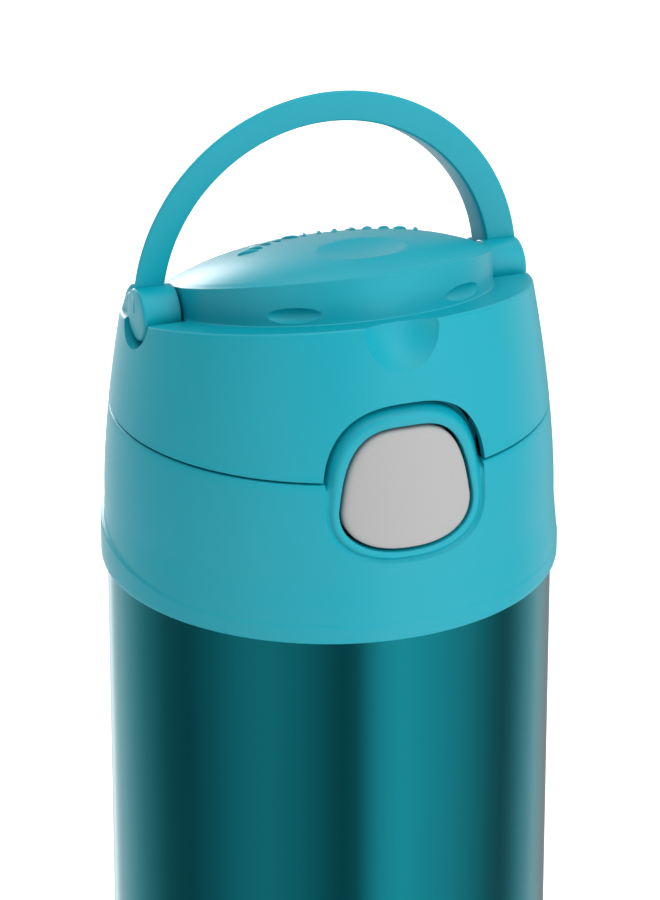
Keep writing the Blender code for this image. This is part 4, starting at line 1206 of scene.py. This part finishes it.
class BOTTLE_OT_handle(Operator):
    """Draws the half-round carry handle with its two pivot bosses"""
    bl_idname = "bottle.handle"
    bl_label = "Carry handle"

    def execute(self, context):
        shape = Shape(context.scene)
        handle = shape.handle
        arch = handle_arch(shape)
        outer, inner = handle.radius - 0.1 * MM, handle.radius - handle.thickness
        middle = handle.setback + handle.depth / 2
        for side in (-1, 1):
            boss = [(0, 0), (handle.boss_radius - 0.12 * MM, 0), (handle.boss_radius, 0.12 * MM)]
            reach = outer - handle.boss_start
            boss += arc(handle.boss_radius - 0.5 * MM, reach - 0.5 * MM, 0.5 * MM, 0, 80, 6)
            boss += [(1.5 * MM, reach), (0, reach)]
            place = axis_place((side * handle.boss_start, 0, shape.pivot), (side, 0, 0))
            join(arch, turned("boss", boss, MEDIUM, place))
            join(arch, rod("heel", (side * (inner + 0.1 * MM), middle, shape.pivot),
                           (side * (outer - 0.2 * MM), middle, shape.pivot),
                           handle.depth / 2 - 0.1 * MM, 64, 0.5 * MM))
            join(arch, rod("stud", (side * handle.stud_start, 0, shape.pivot),
                           (side * 25.5 * MM, 0, shape.pivot), handle.stud_radius, SMALL))
        complete(arch, "handle", "teal_plastic",
                 satin_polypropylene(context.scene.bottle_colours), "carry_handle")
        return {"FINISHED"}


# ---- Mouthpiece and inner parts -----------------------------------------------------------------
class BOTTLE_OT_mouthpiece(Operator):
    """Draws the silicone mouthpiece: its seat and its folding spout"""
    bl_idname = "bottle.mouthpiece"
    bl_label = "Mouthpiece"

    def execute(self, context):
        material = food_silicone(context.scene.bottle_colours)
        pivot = Vector(joint_of("mouthpiece_fold")["pos_m"])
        seat = pivot.z - 3.2 * MM
        lean = math.radians(50)
        direction = Vector((0, -math.sin(lean), math.cos(lean)))
        base = [
            (2.3, -1.2), (2.3, -3.0), (3.7, -3.4), (3.7, -10.5), (4.7, -10.5), (4.7, 0.3),
            (6.8, 0.3), (7.0, 0.45), (7.0, 0.85), (6.85, 1.1), (6.5, 1.25), (6.0, 1.3), (4.4, 1.3),
        ]
        chain = [(r * MM, seat + z * MM) for r, z in base]
        chain += arc(0, pivot.z, 4.5 * MM, -27, -60, 8)
        made = turned("mouthpiece_seat", chain, MEDIUM, Matrix.Translation((0, pivot.y, 0)))
        complete(made, "lid", "silicone", material, "mouthpiece_base")
        tube = [(2.0, 1.5), (2.0, 23.6), (2.3, 24.0), (3.6, 24.0), (4.1, 23.85), (4.4, 23.5)]
        tube += [(4.45, 23.0), (4.45, 21.9), (4.3, 21.4), (3.95, 21.0), (3.9, 20.4), (3.9, 5.0)]
        chain = [(r * MM, z * MM) for r, z in tube]
        chain += arc(0, 0, 4.2 * MM, 55, -64, 16)
        spout = turned("folding_spout", chain, MEDIUM, axis_place(pivot, direction))
        complete(spout, "spout", "silicone", material, "mouthpiece")
        return {"FINISHED"}


class BOTTLE_OT_button_spring(Operator):
    """Draws the spring behind the button as a coil of fixed length; the real spring shortens as the
    button goes in
    """
    bl_idname = "bottle.button_spring"
    bl_label = "Button spring"

    def execute(self, context):
        low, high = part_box("button_spring")
        material = spring_wire(context.scene.bottle_colours)
        wire, turns = 0.25 * MM, 5.0
        free = high.y - low.y - 2.2 * wire
        spring = run_tree("button_coil", thread_tree(), {
            "Radius": (high.x - low.x) / 2 - 1.1 * wire, "Pitch": free / turns, "Turns": turns,
            "Ridge": wire, "Start": 0.0, "Finish": material,
        })
        start = Vector((0, low.y + 1.1 * wire, (low.z + high.z) / 2))
        spring.data.transform(axis_place(start, (0, 1, 0)))
        complete(spring, "lid", "spring_steel", material, "button_spring")
        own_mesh(spring)
        return {"FINISHED"}


class BOTTLE_OT_inner_parts(Operator):
    """Gives the parts inside the bottle and the lid their finishes"""
    bl_idname = "bottle.inner_parts"
    bl_label = "Inner parts"

    def execute(self, context):
        colours = context.scene.bottle_colours
        dress(polished_steel(colours), "inner_liner", "base_plate", "vacuum_seal_plug",
              "getter_disc", "hinge_pin")
        dress(spring_wire(colours), "hinge_spring")
        dress(inner_polypropylene(colours), "lid_core", "cover_liner")
        dress(food_silicone(colours), "vent_valve", "sealing_pad")
        dress(seal_silicone(colours), "lid_gasket")
        dress(extruded_straw(colours), "straw")
        return {"FINISHED"}


# ---- Stage ---------------------------------------------------------------------------------------
CAMERA_TURN = (-21, 23.51)      # degrees from the front and above the floor
CAMERA_DISTANCE = 0.71
WORLD_BANDS = (
    # direction round the bottle in degrees from the front, and how bright it is there
    (-180, 1.50), (-172, 1.00), (-164, 0.85), (-158, 0.85), (-146, 0.68), (-133, 0.46),
    (-113, 0.20), (-98, 0.17),
    (-81, 0.29), (-67, 0.43), (-53, 0.48), (-40, 0.42), (-28, 0.31), (-15, 0.17), (-7, 0.22),
    (6, 0.80), (17, 0.96), (31, 0.82), (45, 0.69), (61, 0.46), (72, 0.28), (81, 0.20), (89, 0.30),
    (101, 0.58), (116, 0.82), (139, 0.36), (158, 0.36), (172, 1.00), (180, 1.50),
)


def studio_world():
    """A studio with tall soft lights all round; the camera sees plain pale ground behind."""
    world = bpy.data.worlds.new("studio")
    world.use_nodes = True
    tree = world.node_tree
    tree.nodes.clear()
    place = add(tree, "ShaderNodeTexCoord").outputs["Generated"]
    axes = add(tree, "ShaderNodeSeparateXYZ", {"Vector": place})
    front = add(tree, "ShaderNodeMath", {0: axes.outputs["Y"], 1: -1.0}, operation="MULTIPLY")
    around = add(tree, "ShaderNodeMath", {0: axes.outputs["X"], 1: front.outputs["Value"]},
                 operation="ARCTAN2")
    turn = add(tree, "ShaderNodeMapRange", {
        "Value": around.outputs["Value"], "From Min": -math.pi, "From Max": math.pi,
    })
    ramp = add(tree, "ShaderNodeValToRGB", {"Fac": turn.outputs["Result"]})
    elements = ramp.color_ramp.elements
    top = max(level for _, level in WORLD_BANDS)
    for i, (degrees, level) in enumerate(WORLD_BANDS):
        position = (degrees + 180) / 360
        element = elements[i] if i < 2 else elements.new(position)
        element.position = position
        element.color = (level / top,) * 3 + (1.0,)
    walls = add(tree, "ShaderNodeBackground", {"Color": ramp.outputs["Color"], "Strength": top})
    height = add(tree, "ShaderNodeMapRange", {
        "Value": axes.outputs["Z"], "From Min": 0.4, "From Max": 0.85,
        "To Min": 0.0, "To Max": 0.4,
    }, interpolation_type="SMOOTHSTEP")
    ceiling = add(tree, "ShaderNodeBackground", {
        "Color": (1, 1, 1, 1), "Strength": height.outputs["Result"],
    })
    bands = add(tree, "ShaderNodeAddShader", {
        0: walls.outputs["Background"], 1: ceiling.outputs["Background"],
    })
    plain = add(tree, "ShaderNodeBackground", {"Color": (1, 1, 1, 1), "Strength": 1.0})
    path = add(tree, "ShaderNodeLightPath")
    mix = add(tree, "ShaderNodeMixShader", {
        "Fac": path.outputs["Is Camera Ray"], 1: bands.outputs["Shader"],
        2: plain.outputs["Background"],
    })
    add(tree, "ShaderNodeOutputWorld", {"Surface": mix.outputs["Shader"]})
    return world


def towards(azimuth, elevation):
    """Unit vector at degrees from the front, towards +X, and degrees above the floor."""
    a, e = math.radians(azimuth), math.radians(elevation)
    return Vector((math.sin(a) * math.cos(e), -math.cos(a) * math.cos(e), math.sin(e)))


def soft_light(name, azimuth, elevation, distance, size, power, aim, mirrored=False):
    light = bpy.data.lights.new(name, "AREA")
    light.shape = "RECTANGLE"
    light.size, light.size_y = size
    light.energy = power
    made = bpy.data.objects.new(name, light)
    out = towards(azimuth, elevation)
    made.location = aim + out * distance
    made.rotation_euler = (-out).to_track_quat("-Z", "Y").to_euler()
    made.visible_glossy = mirrored
    bpy.context.scene.collection.objects.link(made)


class BOTTLE_OT_stage(Operator):
    """Makes the floor, the studio light and the camera"""
    bl_idname = "bottle.stage"
    bl_label = "Stage"

    def execute(self, context):
        scene = context.scene
        floor = new_object("floor", [(-3, -3, 0), (3, -3, 0), (3, 3, 0), (-3, 3, 0)],
                           [[0, 1, 2, 3]])
        floor.data.materials.append(surface(
            "matt studio floor", scene.bottle_colours.floor, 0.8, 0.02, 2 * MM, 0.01 * MM,
            tint=0.004, Emission_Color=(1, 1, 1, 1), Emission_Strength=0.35))
        floor.visible_glossy = False
        scene.world = studio_world()
        aim = Vector((0, 0, LID_FOOT + 16.04 * MM))
        soft_light("top light", -40, 74, 1.1, (0.8, 0.8), 3.5, aim)
        soft_light("key light", 34, 30, 1.2, (0.5, 0.9), 7.6, aim)
        soft_light("rear light", -174, 7, 1.0, (0.5, 0.35), 4.0, aim, mirrored=True)
        camera = bpy.data.cameras.new("camera")
        camera.lens = 186.5
        camera.sensor_width = 36.0
        camera.shift_x = 0.001144
        made = bpy.data.objects.new("camera", camera)
        back = towards(*CAMERA_TURN)
        made.location = aim + back * CAMERA_DISTANCE
        made.rotation_euler = (-back).to_track_quat("-Z", "Y").to_euler()
        scene.collection.objects.link(made)
        scene.camera = made
        scene.view_settings.view_transform = "Standard"
        return {"FINISHED"}


# ---- Panel and registration ----------------------------------------------------------------------
OPERATORS = (
    BOTTLE_OT_steel_body, BOTTLE_OT_lid_case, BOTTLE_OT_button, BOTTLE_OT_cover,
    BOTTLE_OT_handle, BOTTLE_OT_mouthpiece, BOTTLE_OT_button_spring, BOTTLE_OT_inner_parts,
    BOTTLE_OT_stage,
)
GROUPS = {
    "bottle_body": BottleBodySizes,
    "bottle_lid": BottleLidSizes,
    "bottle_button": BottleButtonSizes,
    "bottle_handle": BottleHandleSizes,
    "bottle_hinge": BottleHingeSizes,
    "bottle_colours": BottleColours,
}


class BOTTLE_PT_panel(Panel):
    """Lists the bottle's pieces, sizes and colours"""
    bl_idname = "BOTTLE_PT_panel"
    bl_label = "Drinking bottle"
    bl_space_type = "VIEW_3D"
    bl_region_type = "UI"
    bl_category = "Bottle"

    def draw(self, context):
        layout = self.layout
        for operator in OPERATORS:
            layout.operator(operator.bl_idname)
        for name, group in GROUPS.items():
            box = layout.box()
            for key in group.__annotations__:
                box.prop(getattr(context.scene, name), key)


def register():
    for group in GROUPS.values():
        bpy.utils.register_class(group)
    for name, group in GROUPS.items():
        setattr(bpy.types.Scene, name, PointerProperty(type=group))
    for made in (*OPERATORS, BOTTLE_PT_panel):
        bpy.utils.register_class(made)


def unregister():
    for made in (BOTTLE_PT_panel, *reversed(OPERATORS)):
        bpy.utils.unregister_class(made)
    for name in GROUPS:
        delattr(bpy.types.Scene, name)
    for group in reversed(list(GROUPS.values())):
        bpy.utils.unregister_class(group)


def main():
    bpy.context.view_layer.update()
    register()
    for operator in OPERATORS:
        area, name = operator.bl_idname.split(".")
        getattr(getattr(bpy.ops, area), name)()


if __name__ == "__main__":
    main()
